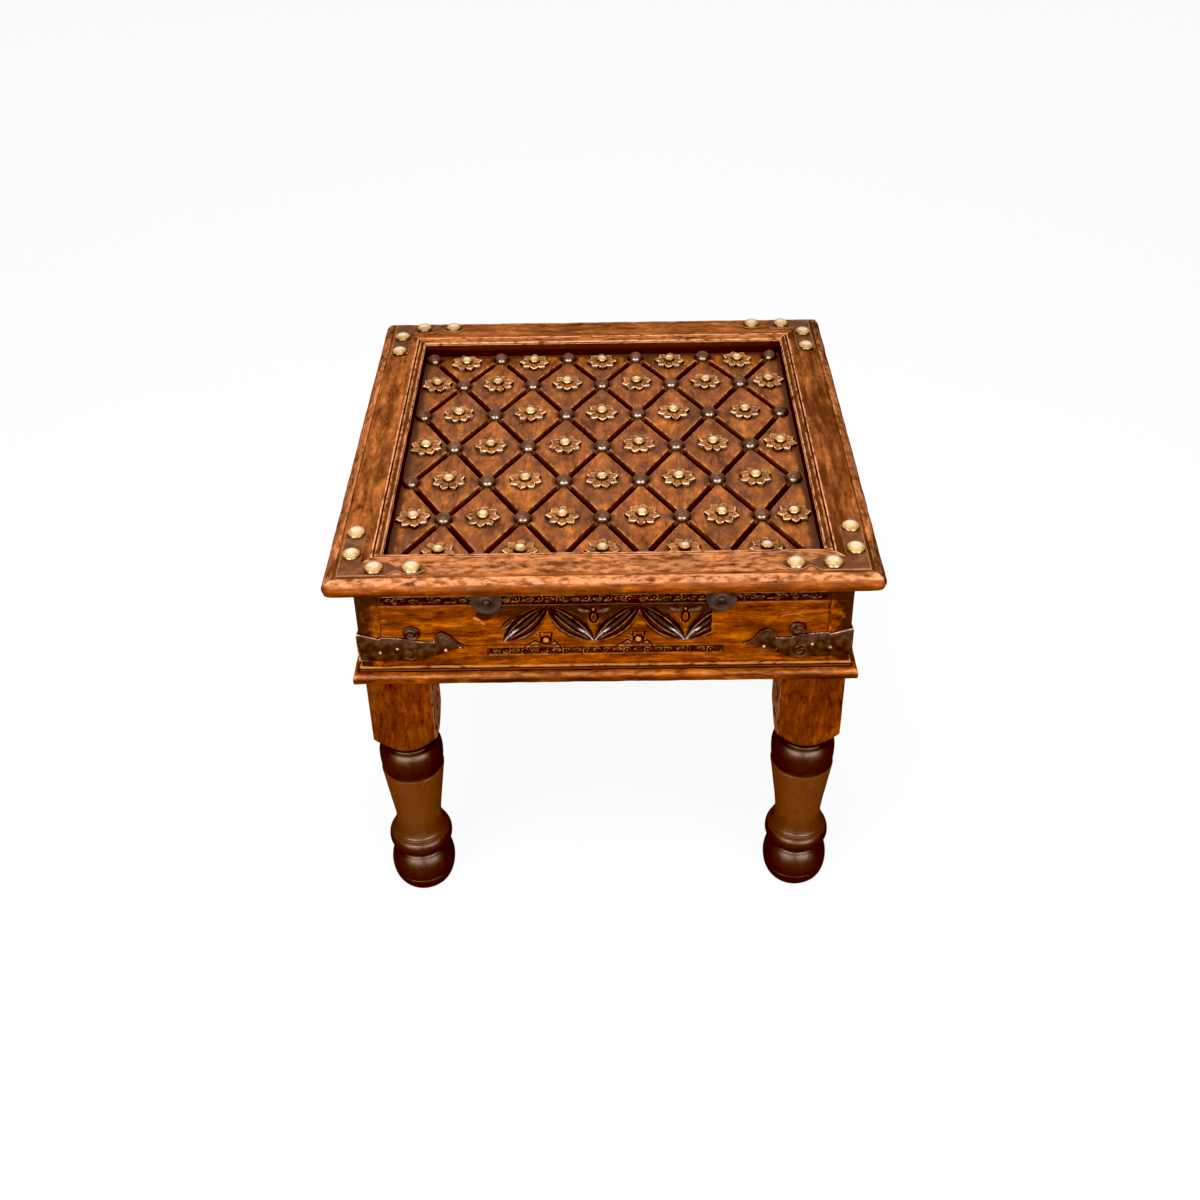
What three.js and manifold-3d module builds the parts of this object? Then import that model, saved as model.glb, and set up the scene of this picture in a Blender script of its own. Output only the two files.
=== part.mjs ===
// Bajot: a low square table with a framed, studded top on a carved box and four turned legs.
// Millimetres, +Z up. The origin is on the floor under the middle of the table, and +Y points to its back.
import * as THREE from 'three';
import { mergeVertices } from 'three/addons/utils/BufferGeometryUtils.js';
import Module from 'manifold-3d';

const wasm = await Module();
wasm.setup();

// Overall sizes
const topWidth = 482.6;
const tableHeight = 410.4;
const topOverhang = 23;
const apronHeight = 106.7;
const fitGap = 0.3;
const cutOverrun = 2;

// Frame of the top: four mitred rails with a round outer edge and a moulded inner edge,
// which lips over the panel inside the box
const railThickness = 18.4;
const railLip = 5.5;
const railCornerRadius = 7;
const outerQuirkSetback = 0.5;
const innerBandWidth = 8.6;
const innerBandDrop = 4.6;
const quirkWidth = 1.6;
const quirkDepth = 1.4;

// Box: four boards on edge, the side boards run through to the front
const apronThickness = 19.8;
const mouldingHeight = 16.4;
const mouldingProjection = 8.5;
const mouldingNoseHeight = 12.2;
const mouldingFilletProjection = 2.4;

// Row of carved leaf scoops in each apron, cut off short at its right end
const leafRowRise = 26.6;
const leafRowHeight = 37.5;
const leafPitch = 40.4;
const leafWidth = 14.6;
const leafDepth = 4.6;
const leafRowLeft = 90.2;
const leafRowRight = 94.3;
const leafTipGap = 1;
const leafStations = 6;

// Lattice panel inside the frame
const panelThickness = 16;
const latticeColumns = 11;
const latticeRows = 7;
const latticeSideMargin = 9.9;
const latticeEndMargin = 7.9;
const latticeShiftX = -1;
const latticeShiftY = 3.7;
const trimGap = 0.8;
const bossRadius = 7.8;
const bossHeight = 7.4;
const bossSides = 8;
const grooveWidth = 5.6;
const grooveDepth = 4.4;
const grooveEndGap = 1.6;
const flowerRadius = 17;
const flowerWaistShare = 0.66;
const flowerHeight = 3.8;
const flowerRimHeight = 2.2;
const flowerPetals = 8;
const nailRadius = 5.2;
const nailHeight = 3;

// Cleats that carry the panel inside the box
const cleatWidth = 20;
const cleatHeight = 22;

// Legs: a square block, notched to stand inside the corner of the box, over a turned shaft.
// The heights of the turned shaft add up from the floor.
const legWidth = 58.6;
const legSides = 18;
const soleRadius = 24.5;
const footBallRadius = 31.4;
const footBallHeight = 44.6;
const lowerNeckRadius = 24.4;
const lowerNeckHeight = 4.6;
const ringRadius = 31.3;
const ringHeight = 18.2;
const filletRadius = 27.6;
const filletHeight = 2.6;
const coveFootRadius = 25.8;
const coveHeight = 19;
const waistRadius = 22.4;
const taperHeight = 63.6;
const taperTopRadius = 30.2;
const grooveRadius = 28.2;
const grooveHeight = 5;
const upperBallRadius = 30.6;
const upperBallHeight = 29.2;
const neckRadius = 24.3;
const neckHeight = 3.2;
const pommelRise = 21;

// Iron corner plates on the top
const plateThickness = 1.5;
const plateSideInset = 13;
const plateEndInset = 10.9;
const plateArmWidth = 19;
const plateSideLap = 3;
const plateNeckWidth = 5;
const plateNeckLength = 7;
const plateLeafLength = 28;
const plateLeafWidth = 16.4;

// Brass studs through the corner plates, four at each corner
const studRadius = 8.6;
const studHeight = 4.8;
const studShankRadius = 1.6;
const studShankLength = 13;
const studPointLength = 3.2;
const studPointRadius = 0.8;
const endStudFirst = 44.4;
const endStudSecond = 76.6;
const sideStudFirst = 40.6;
const sideStudSecond = 73;
const studSides = 10;
const shankHoleSides = 6;

// Iron straps that wrap the corners of the box. Rises are from the strap's lower edge,
// and reaches are from the corner.
const strapThickness = 1.6;
const strapLift = 7.1;
const strapHeight = 24;
const strapCornerRise = 7;
const strapCornerRun = 18;
const strapNeckFootRise = 6.5;
const strapNeckTopRise = 22;
const strapLobeRadius = 7.8;
const strapLobeReach = 44.5;
const strapLobeNeckWidth = 7;
const strapUpperLobeRise = 30.3;
const strapLowerLobeRise = 6.7;
const strapLobeProud = 1;
const strapHeadReach = 66;
const strapHeadFootRise = 7;
const strapHeadTopRise = 32.5;
const strapTipReach = 95;
const strapTipRise = 16;
const strapNailRadius = 2.6;
const strapNailHeight = 1.6;
const strapNailRise = 13;
const strapNailReaches = [15, 28, 78];

// Iron discs near the upper edge of each apron
const discRadius = 14.4;
const discThickness = 1.6;
const discReach = 104;
const discTopGap = 3.1;
const discNailRadius = 3.4;
const discNailHeight = 2.2;
const discSides = 16;

// Places that follow from the sizes
const topHalf = topWidth / 2;
const boxHalf = topHalf - topOverhang;
const railWidth = topOverhang + apronThickness + railLip;
const railUnderside = tableHeight - railThickness;
const apronTop = railUnderside - fitGap;
const boxUnderside = apronTop - apronHeight;
const mouldingTop = boxUnderside + mouldingHeight;
const panelTop = railUnderside - fitGap;
const panelUnderside = panelTop - panelThickness;
const recessHalf = topHalf - railWidth;
const boxInnerHalf = boxHalf - apronThickness;
const legAxis = boxHalf - legWidth / 2;
const postOuter = boxInnerHalf - fitGap;
const postInner = boxHalf - legWidth;
const endStudInset = plateEndInset + plateArmWidth / 2;
const sideStudInset = plateSideInset + plateArmWidth / 2;
const strapFoot = mouldingTop + strapLift;
const quarterTurn = Math.PI / 2;

// Materials
function finish(color, roughness, metalness) {
  return new THREE.MeshStandardMaterial({ color, roughness, metalness });
}
const frameWood = finish(0x8a4a22, 0.42, 0);
const boxWood = finish(0x9a5318, 0.45, 0);
const panelWood = finish(0x8c4a1c, 0.45, 0);
const legWood = finish(0x5c2f18, 0.3, 0);
const hiddenWood = finish(0xa07850, 0.8, 0);
const iron = finish(0x3a2417, 0.5, 0.8);
const brass = finish(0xd8b86a, 0.25, 1);

// Solids for cutting and joining
function toSolid(geometry) {
  geometry.deleteAttribute('normal');
  geometry.deleteAttribute('uv');
  const merged = mergeVertices(geometry);
  return new wasm.Manifold(new wasm.Mesh({
    numProp: 3,
    vertProperties: new Float32Array(merged.attributes.position.array),
    triVerts: new Uint32Array(merged.index.array),
  }));
}

function toGeometry(solid) {
  const mesh = solid.getMesh();
  const geometry = new THREE.BufferGeometry();
  geometry.setAttribute('position', new THREE.BufferAttribute(mesh.vertProperties, mesh.numProp));
  geometry.setIndex(new THREE.BufferAttribute(mesh.triVerts, 1));
  geometry.computeVertexNormals();
  return geometry;
}

function block(xFrom, xTo, yFrom, yTo, zFrom, zTo) {
  const geometry = new THREE.BoxGeometry(xTo - xFrom, yTo - yFrom, zTo - zFrom);
  return geometry.translate((xFrom + xTo) / 2, (yFrom + yTo) / 2, (zFrom + zTo) / 2);
}

// A plate with the given outline, from one level up to another
function flatPlate(points, zFrom, zTo) {
  const shape = new THREE.Shape(points.map(([x, y]) => new THREE.Vector2(x, y)));
  const geometry = new THREE.ExtrudeGeometry(shape, { depth: zTo - zFrom, bevelEnabled: false });
  return geometry.translate(0, 0, zFrom);
}

// A turned piece about +Z; the profile lists [radius, height] from the bottom up, both ends on the axis
function turned(profile, sides) {
  const points = profile.map(([radius, height]) => new THREE.Vector2(radius, height));
  return new THREE.LatheGeometry(points, sides).rotateX(quarterTurn);
}

// Points on an oval arc, as [across, up] pairs
function ovalArc(centreAcross, centreUp, radiusAcross, radiusUp, angleFrom, angleTo, steps) {
  const points = [];
  for (let step = 0; step <= steps; step += 1) {
    const angle = angleFrom + (angleTo - angleFrom) * step / steps;
    points.push([centreAcross + radiusAcross * Math.cos(angle), centreUp + radiusUp * Math.sin(angle)]);
  }
  return points;
}

const group = new THREE.Group();

function addPiece(name, geometry, material, turn = 0) {
  const mesh = new THREE.Mesh(geometry, material);
  mesh.name = name;
  mesh.rotation.z = turn;
  group.add(mesh);
}

// The four sides, as quarter turns from the front
const sides = [
  { name: 'front', turn: 0 },
  { name: 'right', turn: quarterTurn },
  { name: 'back', turn: 2 * quarterTurn },
  { name: 'left', turn: -quarterTurn },
];
const isEnd = (side) => side.name === 'front' || side.name === 'back';

// A bar along the front edge with 45 degree ends; the section lists [inset from the outer edge, height]
function mitredBar(section, outerHalf) {
  const shape = new THREE.Shape(section.map(([inset, height]) => new THREE.Vector2(inset, height)));
  const geometry = new THREE.ExtrudeGeometry(shape, { depth: outerHalf, bevelEnabled: false });
  const position = geometry.attributes.position;
  for (let index = 0; index < position.count; index += 1) {
    const inset = position.getX(index);
    const reach = outerHalf - inset - fitGap / 2;
    const alongX = position.getZ(index) > 0 ? reach : -reach;
    position.setXYZ(index, alongX, inset - outerHalf, position.getY(index));
  }
  return geometry;
}

// Places of the four studs on one rail, as seen with that rail at the front
function studPlaces(side) {
  const inset = isEnd(side) ? endStudInset : sideStudInset;
  const distances = isEnd(side) ? [endStudFirst, endStudSecond] : [sideStudFirst, sideStudSecond];
  const places = [];
  for (const distance of distances) {
    places.push([distance - topHalf, inset - topHalf]);
    places.push([topHalf - distance, inset - topHalf]);
  }
  return places;
}

function studHole([x, y], zFrom, zTo) {
  const radius = studShankRadius + fitGap;
  const profile = [[0, zFrom], [radius, zFrom], [radius, zTo], [0, zTo]];
  return toSolid(turned(profile, shankHoleSides).translate(x, y, 0));
}

// Top rails
function railSection() {
  const edgeRadius = railThickness / 2;
  const edgeLevel = railUnderside + edgeRadius;
  const edgeSteps = 8;
  const bandStart = railWidth - innerBandWidth;
  const outerQuirk = edgeRadius + outerQuirkSetback;
  const bandDropShares = [0.12, 0.42, 1];
  const bandRunShares = [0.3, 0.72, 1];
  const section = [[railWidth, railUnderside]];
  for (const [across, up] of ovalArc(0, 0, edgeRadius, edgeRadius, -quarterTurn, quarterTurn, edgeSteps)) {
    section.push([edgeRadius - across, edgeLevel + up]);
  }
  section.push([outerQuirk, tableHeight]);
  section.push([outerQuirk + quirkWidth / 2, tableHeight - quirkDepth / 2]);
  section.push([outerQuirk + quirkWidth, tableHeight]);
  section.push([bandStart, tableHeight]);
  section.push([bandStart + quirkWidth / 2, tableHeight - quirkDepth]);
  bandRunShares.forEach((runShare, index) => {
    const drop = innerBandDrop * bandDropShares[index];
    section.push([bandStart + innerBandWidth * runShare, tableHeight - drop]);
  });
  return section;
}

function roundedSquare(half, radius) {
  const inner = half - radius;
  const cornerSteps = 4;
  const corners = [[inner, inner], [-inner, inner], [-inner, -inner], [inner, -inner]];
  return corners.flatMap(([x, y], index) => (
    ovalArc(x, y, radius, radius, index * quarterTurn, (index + 1) * quarterTurn, cornerSteps)
  ));
}

function buildRails() {
  const rounding = toSolid(flatPlate(
    roundedSquare(topHalf, railCornerRadius), railUnderside - cutOverrun, tableHeight + cutOverrun,
  ));
  const holeBottom = tableHeight - studShankLength - fitGap;
  for (const side of sides) {
    let rail = toSolid(mitredBar(railSection(), topHalf)).intersect(rounding);
    for (const place of studPlaces(side)) {
      rail = rail.subtract(studHole(place, holeBottom, tableHeight + cutOverrun));
    }
    addPiece(`${side.name}_top_rail`, toGeometry(rail), frameWood, side.turn);
  }
}

// Carved lattice panel
const latticeHalfX = recessHalf - latticeSideMargin;
const latticeHalfY = recessHalf - latticeEndMargin;
const latticePitchX = 2 * latticeHalfX / (latticeColumns - 1);
const latticePitchY = 2 * latticeHalfY / (latticeRows - 1);
const latticeX = (column) => latticeShiftX + column * latticePitchX - latticeHalfX;
const latticeY = (row) => latticeShiftY + row * latticePitchY - latticeHalfY;

// A piece of trim sits on its lattice point, or as near to it as the recess leaves room
function trimPlace(column, row, radius) {
  const limit = recessHalf - radius - trimGap;
  return [
    THREE.MathUtils.clamp(latticeX(column), -limit, limit),
    THREE.MathUtils.clamp(latticeY(row), -limit, limit),
  ];
}

const isBoss = (column, row) => (column + row) % 2 === 0;

function bossSolid(x, y) {
  const domeSteps = 3;
  const dome = ovalArc(0, panelTop, bossRadius, bossHeight, 0, quarterTurn, domeSteps);
  dome[domeSteps][0] = 0;
  const profile = [[0, panelTop - cutOverrun], [bossRadius, panelTop - cutOverrun], ...dome];
  return toSolid(turned(profile, bossSides).translate(x, y, 0));
}

// A carved flower of pointed petals with a domed nail in its middle
function flowerSolid(x, y) {
  const petalPoints = 2 * flowerPetals;
  const nailShoulderShare = 0.72;
  const positions = [];
  const addRing = (count, radiusAt, level) => {
    const first = positions.length / 3;
    for (let index = 0; index < count; index += 1) {
      const angle = 2 * Math.PI * index / count;
      positions.push(radiusAt(index) * Math.cos(angle), radiusAt(index) * Math.sin(angle), level);
    }
    return first;
  };
  const petalEdge = (index) => (index % 2 ? flowerWaistShare : 1) * flowerRadius;
  const nailTop = flowerHeight + nailHeight;
  const nailShoulder = flowerHeight + nailHeight * nailShoulderShare;
  const root = addRing(petalPoints, petalEdge, panelTop - cutOverrun);
  const rim = addRing(petalPoints, petalEdge, panelTop + flowerRimHeight);
  const nailFoot = addRing(flowerPetals, () => nailRadius, panelTop + flowerHeight);
  const shoulder = addRing(flowerPetals, () => nailRadius * nailShoulderShare, panelTop + nailShoulder);
  const rootMiddle = addRing(1, () => 0, panelTop - cutOverrun);
  const crown = addRing(1, () => 0, panelTop + nailTop);
  const faces = [];
  for (let index = 0; index < petalPoints; index += 1) {
    const next = (index + 1) % petalPoints;
    faces.push(rootMiddle, root + next, root + index);
    faces.push(root + index, root + next, rim + next, root + index, rim + next, rim + index);
  }
  for (let petal = 0; petal < flowerPetals; petal += 1) {
    const next = (petal + 1) % flowerPetals;
    const waist = rim + 2 * petal + 1;
    faces.push(rim + 2 * petal, waist, nailFoot + petal);
    faces.push(waist, nailFoot + next, nailFoot + petal);
    faces.push(waist, rim + 2 * next, nailFoot + next);
    faces.push(nailFoot + petal, nailFoot + next, shoulder + next);
    faces.push(nailFoot + petal, shoulder + next, shoulder + petal);
    faces.push(shoulder + petal, shoulder + next, crown);
  }
  const geometry = new THREE.BufferGeometry();
  geometry.setAttribute('position', new THREE.Float32BufferAttribute(positions, 3));
  geometry.setIndex(faces);
  return toSolid(geometry.translate(x, y, 0));
}

// A V groove between two neighbouring bosses
function grooveSolid([startX, startY], [endX, endY]) {
  const run = Math.hypot(endX - startX, endY - startY);
  const length = run - 2 * (bossRadius + grooveEndGap);
  const outerWidth = grooveWidth * (grooveDepth + cutOverrun) / grooveDepth;
  const section = new THREE.Shape([
    new THREE.Vector2(-outerWidth / 2, cutOverrun),
    new THREE.Vector2(0, -grooveDepth),
    new THREE.Vector2(outerWidth / 2, cutOverrun),
  ]);
  const geometry = new THREE.ExtrudeGeometry(section, { depth: length, bevelEnabled: false });
  geometry.translate(0, 0, -length / 2).rotateX(quarterTurn);
  geometry.rotateZ(-Math.atan2(endX - startX, endY - startY));
  return toSolid(geometry.translate((startX + endX) / 2, (startY + endY) / 2, panelTop));
}

function buildPanel() {
  const half = boxInnerHalf - fitGap;
  let panel = toSolid(block(-half, half, -half, half, panelUnderside, panelTop));
  for (let row = 0; row + 1 < latticeRows; row += 1) {
    for (let column = 0; column < latticeColumns; column += 1) {
      for (const slant of [-1, 1]) {
        const reached = column + slant;
        if (isBoss(column, row) && reached >= 0 && reached < latticeColumns) {
          const start = trimPlace(column, row, bossRadius);
          panel = panel.subtract(grooveSolid(start, trimPlace(reached, row + 1, bossRadius)));
        }
      }
    }
  }
  for (let row = 0; row < latticeRows; row += 1) {
    for (let column = 0; column < latticeColumns; column += 1) {
      const piece = isBoss(column, row)
        ? bossSolid(...trimPlace(column, row, bossRadius))
        : flowerSolid(...trimPlace(column, row, flowerRadius));
      panel = panel.add(piece);
    }
  }
  addPiece('lattice_panel', toGeometry(panel), panelWood);
}

// A pointed leaf scooped into the front face: two tips on the face and a valley between them
function leafScoop(xFrom, zFrom, xTo, zTo) {
  const outside = -boxHalf - cutOverrun;
  const length = Math.hypot(xTo - xFrom, zTo - zFrom);
  const acrossX = (zFrom - zTo) / length;
  const acrossZ = (xTo - xFrom) / length;
  const positions = [xFrom, outside, zFrom];
  const faces = [];
  for (let station = 1; station < leafStations; station += 1) {
    const share = station / leafStations;
    const swell = Math.sin(Math.PI * share);
    const midX = xFrom + (xTo - xFrom) * share;
    const midZ = zFrom + (zTo - zFrom) * share;
    const depth = leafDepth * swell;
    const halfWidth = (leafWidth / 2) * swell * (depth + cutOverrun) / depth;
    positions.push(midX + acrossX * halfWidth, outside, midZ + acrossZ * halfWidth);
    positions.push(midX, depth - boxHalf, midZ);
    positions.push(midX - acrossX * halfWidth, outside, midZ - acrossZ * halfWidth);
  }
  const lastTip = positions.length / 3;
  positions.push(xTo, outside, zTo);
  for (let edge = 0; edge < 3; edge += 1) {
    const nextEdge = (edge + 1) % 3;
    faces.push(0, 1 + edge, 1 + nextEdge);
    for (let station = 1; station + 1 < leafStations; station += 1) {
      const near = 1 + 3 * (station - 1);
      const far = near + 3;
      faces.push(near + edge, far + nextEdge, near + nextEdge, near + edge, far + edge, far + nextEdge);
    }
    faces.push(lastTip, lastTip - 3 + nextEdge, lastTip - 3 + edge);
  }
  const geometry = new THREE.BufferGeometry();
  geometry.setAttribute('position', new THREE.Float32BufferAttribute(positions, 3));
  geometry.setIndex(faces);
  return toSolid(geometry);
}

// Box boards with their row of leaves, which stops short where the carving was cut off
function buildAprons() {
  const rowFoot = mouldingTop + leafRowRise;
  const rowHead = rowFoot + leafRowHeight;
  const carved = toSolid(block(
    -leafRowLeft - leafWidth, leafRowRight, -boxHalf - 2 * cutOverrun, boxHalf, boxUnderside, apronTop,
  ));
  for (const side of sides) {
    const half = isEnd(side) ? boxInnerHalf - fitGap : boxHalf;
    let apron = toSolid(block(-half, half, -boxHalf, -boxInnerHalf, boxUnderside, apronTop));
    let rising = true;
    for (let start = -leafRowLeft; start < leafRowRight; start += leafPitch) {
      const zFrom = rising ? rowFoot : rowHead;
      const zTo = rising ? rowHead : rowFoot;
      const leaf = leafScoop(start + leafTipGap, zFrom, start + leafPitch - leafTipGap, zTo);
      apron = apron.subtract(leaf.intersect(carved));
      rising = !rising;
    }
    addPiece(`${side.name}_apron`, toGeometry(apron), boxWood, side.turn);
  }
}

// Base moulding planted round the foot of the box
function buildMouldings() {
  const noseSteps = 6;
  const nose = mouldingProjection - mouldingFilletProjection;
  const noseRise = mouldingNoseHeight / 2;
  const section = [[mouldingProjection, boxUnderside]];
  for (const [across, up] of ovalArc(0, noseRise, nose, noseRise, -quarterTurn, quarterTurn, noseSteps)) {
    section.push([nose - across, boxUnderside + up]);
  }
  section.push([nose, mouldingTop]);
  section.push([mouldingProjection, mouldingTop]);
  for (const side of sides) {
    const bar = mitredBar(section, boxHalf + fitGap + mouldingProjection);
    addPiece(`${side.name}_base_moulding`, bar, boxWood, side.turn);
  }
}

// Cleats inside the box, between the leg posts
function buildCleats() {
  const half = postInner - fitGap;
  const top = panelUnderside - fitGap;
  const outer = boxInnerHalf - fitGap;
  for (const side of sides) {
    const bar = block(-half, half, -outer, cleatWidth - outer, top - cleatHeight, top);
    addPiece(`${side.name}_panel_cleat`, bar, hiddenWood, side.turn);
  }
}

// A turned swelling, from one radius over its widest to another; a fullness of 1 is a parabola, 0.5 an oval
function swelling(levelFrom, height, radiusFrom, widest, radiusTo, fullness, steps) {
  const points = [];
  for (let step = 0; step <= steps; step += 1) {
    const away = 2 * step / steps - 1;
    const end = away < 0 ? radiusFrom : radiusTo;
    points.push([end + (widest - end) * (1 - away * away) ** fullness, levelFrom + height * step / steps]);
  }
  return points;
}

const ringFoot = footBallHeight + lowerNeckHeight;
const filletFoot = ringFoot + ringHeight;
const coveFoot = filletFoot + filletHeight;
const waistLevel = coveFoot + coveHeight;
const taperTop = waistLevel + taperHeight;
const upperBallFoot = taperTop + grooveHeight;
const neckFoot = upperBallFoot + upperBallHeight;
const pommelFoot = neckFoot + neckHeight;

// Turned part of a leg, from the sole up into the square block
function legProfile() {
  const ballSteps = 6;
  const ringSteps = 4;
  const ballFullness = 1;
  const ringFullness = 0.6;
  const coveRunShares = [0.5, 0.16];
  const coveRiseShares = [0.28, 0.62];
  const cove = coveRunShares.map((runShare, index) => [
    waistRadius + (coveFootRadius - waistRadius) * runShare,
    coveFoot + coveHeight * coveRiseShares[index],
  ]);
  return [
    [0, 0],
    ...swelling(0, footBallHeight, soleRadius, footBallRadius, lowerNeckRadius, ballFullness, ballSteps),
    ...swelling(ringFoot, ringHeight, lowerNeckRadius, ringRadius, filletRadius, ringFullness, ringSteps),
    [filletRadius, coveFoot],
    [coveFootRadius, coveFoot],
    ...cove,
    [waistRadius, waistLevel],
    [taperTopRadius, taperTop],
    [grooveRadius, taperTop + grooveHeight / 2],
    [grooveRadius, upperBallFoot],
    ...swelling(
      upperBallFoot, upperBallHeight, grooveRadius, upperBallRadius, neckRadius, ringFullness, ballSteps,
    ),
    [neckRadius, pommelFoot + neckHeight],
    [0, pommelFoot + neckHeight],
  ];
}

// One leg, for the front left corner, with its axis at that corner's place
function legSolid() {
  const shoulder = boxUnderside - fitGap;
  const halfDiagonal = legWidth / Math.SQRT2;
  const beyond = halfDiagonal + cutOverrun;
  const slope = pommelRise / (halfDiagonal - neckRadius);
  const square = toSolid(block(-boxHalf, -postInner, -boxHalf, -postInner, pommelFoot, shoulder));
  const roundedFoot = toSolid(turned([
    [0, pommelFoot - cutOverrun],
    [neckRadius, pommelFoot - cutOverrun],
    [neckRadius, pommelFoot],
    [beyond, pommelFoot + slope * (beyond - neckRadius)],
    [beyond, shoulder + cutOverrun],
    [0, shoulder + cutOverrun],
  ], legSides).translate(-legAxis, -legAxis, 0));
  const post = toSolid(block(
    -postOuter, -postInner, -postOuter, -postInner, shoulder - cutOverrun, panelUnderside - fitGap,
  ));
  const shaft = toSolid(turned(legProfile(), legSides).translate(-legAxis, -legAxis, 0));
  return square.intersect(roundedFoot).add(post).add(shaft);
}

// The four corners, as quarter turns from the front left one
const corners = [
  { name: 'front_left', turn: 0 },
  { name: 'front_right', turn: quarterTurn },
  { name: 'back_right', turn: 2 * quarterTurn },
  { name: 'back_left', turn: -quarterTurn },
];

function buildLegs() {
  const leg = legSolid();
  for (const corner of corners) {
    addPiece(`${corner.name}_leg`, toGeometry(leg), legWood, corner.turn);
  }
}

// Corner plate outline for the front left corner; mirror is -1 for the front right one
function cornerPlateOutline(mirror) {
  const left = plateSideInset - topHalf;
  const front = plateEndInset - topHalf;
  const armInner = front + plateArmWidth;
  const sideInner = left + plateArmWidth;
  const sideEnd = sideStudSecond + plateSideLap - topHalf;
  const leafMiddle = endStudSecond - topHalf;
  const armMiddle = front + plateArmWidth / 2;
  const leafStart = leafMiddle - plateLeafLength / 2;
  const armEnd = leafStart - plateNeckLength;
  const leafSteps = 6;
  const neckShare = Math.asin(plateNeckWidth / plateLeafWidth) / Math.PI;
  const leafEdge = (sign) => {
    const points = [];
    for (let step = 0; step < leafSteps; step += 1) {
      const share = neckShare + (1 - neckShare) * step / leafSteps;
      const halfWidth = (plateLeafWidth / 2) * Math.sin(Math.PI * share);
      points.push([leafStart + plateLeafLength * share, armMiddle + sign * halfWidth]);
    }
    return points;
  };
  const outline = [
    [left, front],
    [armEnd, front],
    [leafStart, armMiddle - plateNeckWidth / 2],
    ...leafEdge(-1),
    [leafStart + plateLeafLength, armMiddle],
    ...leafEdge(1).reverse(),
    [leafStart, armMiddle + plateNeckWidth / 2],
    [armEnd, armInner],
    [sideInner, armInner],
    [sideInner, sideEnd],
    [left, sideEnd],
  ];
  return outline.map(([x, y]) => [mirror * x, y]);
}

// Stud places at the front left corner in the table's own directions, or mirrored for the front right one
function cornerStudPlaces(mirror) {
  return [
    [mirror * (endStudFirst - topHalf), endStudInset - topHalf],
    [mirror * (endStudSecond - topHalf), endStudInset - topHalf],
    [mirror * (sideStudInset - topHalf), sideStudFirst - topHalf],
    [mirror * (sideStudInset - topHalf), sideStudSecond - topHalf],
  ];
}

function studGeometry() {
  const seat = tableHeight + 2 * fitGap + plateThickness;
  const domeSteps = 4;
  const dome = ovalArc(0, seat, studRadius, studHeight, 0, quarterTurn, domeSteps);
  dome[domeSteps][0] = 0;
  const shankEnd = tableHeight - studShankLength;
  return turned([
    [0, shankEnd],
    [studPointRadius, shankEnd],
    [studShankRadius, shankEnd + studPointLength],
    [studShankRadius, seat],
    ...dome,
  ], studSides);
}

function buildCornerFittings() {
  const plateBottom = tableHeight + fitGap;
  const plateTop = plateBottom + plateThickness;
  const studNames = ['end_stud_1', 'end_stud_2', 'side_stud_1', 'side_stud_2'];
  for (const corner of corners) {
    const mirror = corner.name === 'front_left' || corner.name === 'back_right' ? 1 : -1;
    const turn = corner.name.startsWith('front') ? 0 : 2 * quarterTurn;
    let plate = toSolid(flatPlate(cornerPlateOutline(mirror), plateBottom, plateTop));
    const places = cornerStudPlaces(mirror);
    for (const place of places) {
      plate = plate.subtract(studHole(place, plateBottom - cutOverrun, plateTop + cutOverrun));
    }
    addPiece(`${corner.name}_corner_plate`, toGeometry(plate), iron, turn);
    places.forEach(([x, y], index) => {
      addPiece(`${corner.name}_${studNames[index]}`, studGeometry().translate(x, y, 0), brass, turn);
    });
  }
}

// Strap outline on the front face, as [reach from the corner, level]
function strapOutline() {
  const cornerOut = -fitGap - strapThickness;
  const headMiddleShare = 0.25;
  const shoulderRunShare = 0.55;
  const shoulderRiseShare = 0.5;
  const headMiddle = strapHeadReach + (strapTipReach - strapHeadReach) * headMiddleShare;
  const lobeEnd = strapLobeReach + strapLobeRadius;
  const outline = [
    [cornerOut, 0],
    [strapLobeReach, 0],
    [lobeEnd, strapNeckFootRise],
    [headMiddle, strapHeadFootRise],
    [strapTipReach, strapTipRise],
    [
      headMiddle + (strapTipReach - headMiddle) * shoulderRunShare,
      strapTipRise + (strapHeadTopRise - strapTipRise) * shoulderRiseShare,
    ],
    [headMiddle, strapHeadTopRise],
    [strapHeadReach, (strapHeadTopRise + strapNeckTopRise) / 2],
    [strapHeadReach, strapNeckTopRise],
    [lobeEnd, strapNeckTopRise],
    [strapCornerRun, strapHeight],
    [cornerOut, strapHeight + strapCornerRise],
  ];
  return outline.map(([reach, rise]) => [reach, strapFoot + rise]);
}

// A round piece on the front face at a given reach and level, proud of the box by the given amounts
function frontRound(x, level, radius, from, to, roundSides) {
  const profile = [[0, from], [radius, from], [radius, to], [0, to]];
  return toSolid(turned(profile, roundSides).rotateX(quarterTurn).translate(x, -boxHalf, level));
}

function frontDome(x, level, radius, from, height, domeSides) {
  const domeSteps = 2;
  const dome = ovalArc(0, from, radius, height, 0, quarterTurn, domeSteps);
  dome[domeSteps][0] = 0;
  const profile = [[0, fitGap], [radius, fitGap], ...dome];
  return toSolid(turned(profile, domeSides).rotateX(quarterTurn).translate(x, -boxHalf, level));
}

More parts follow.
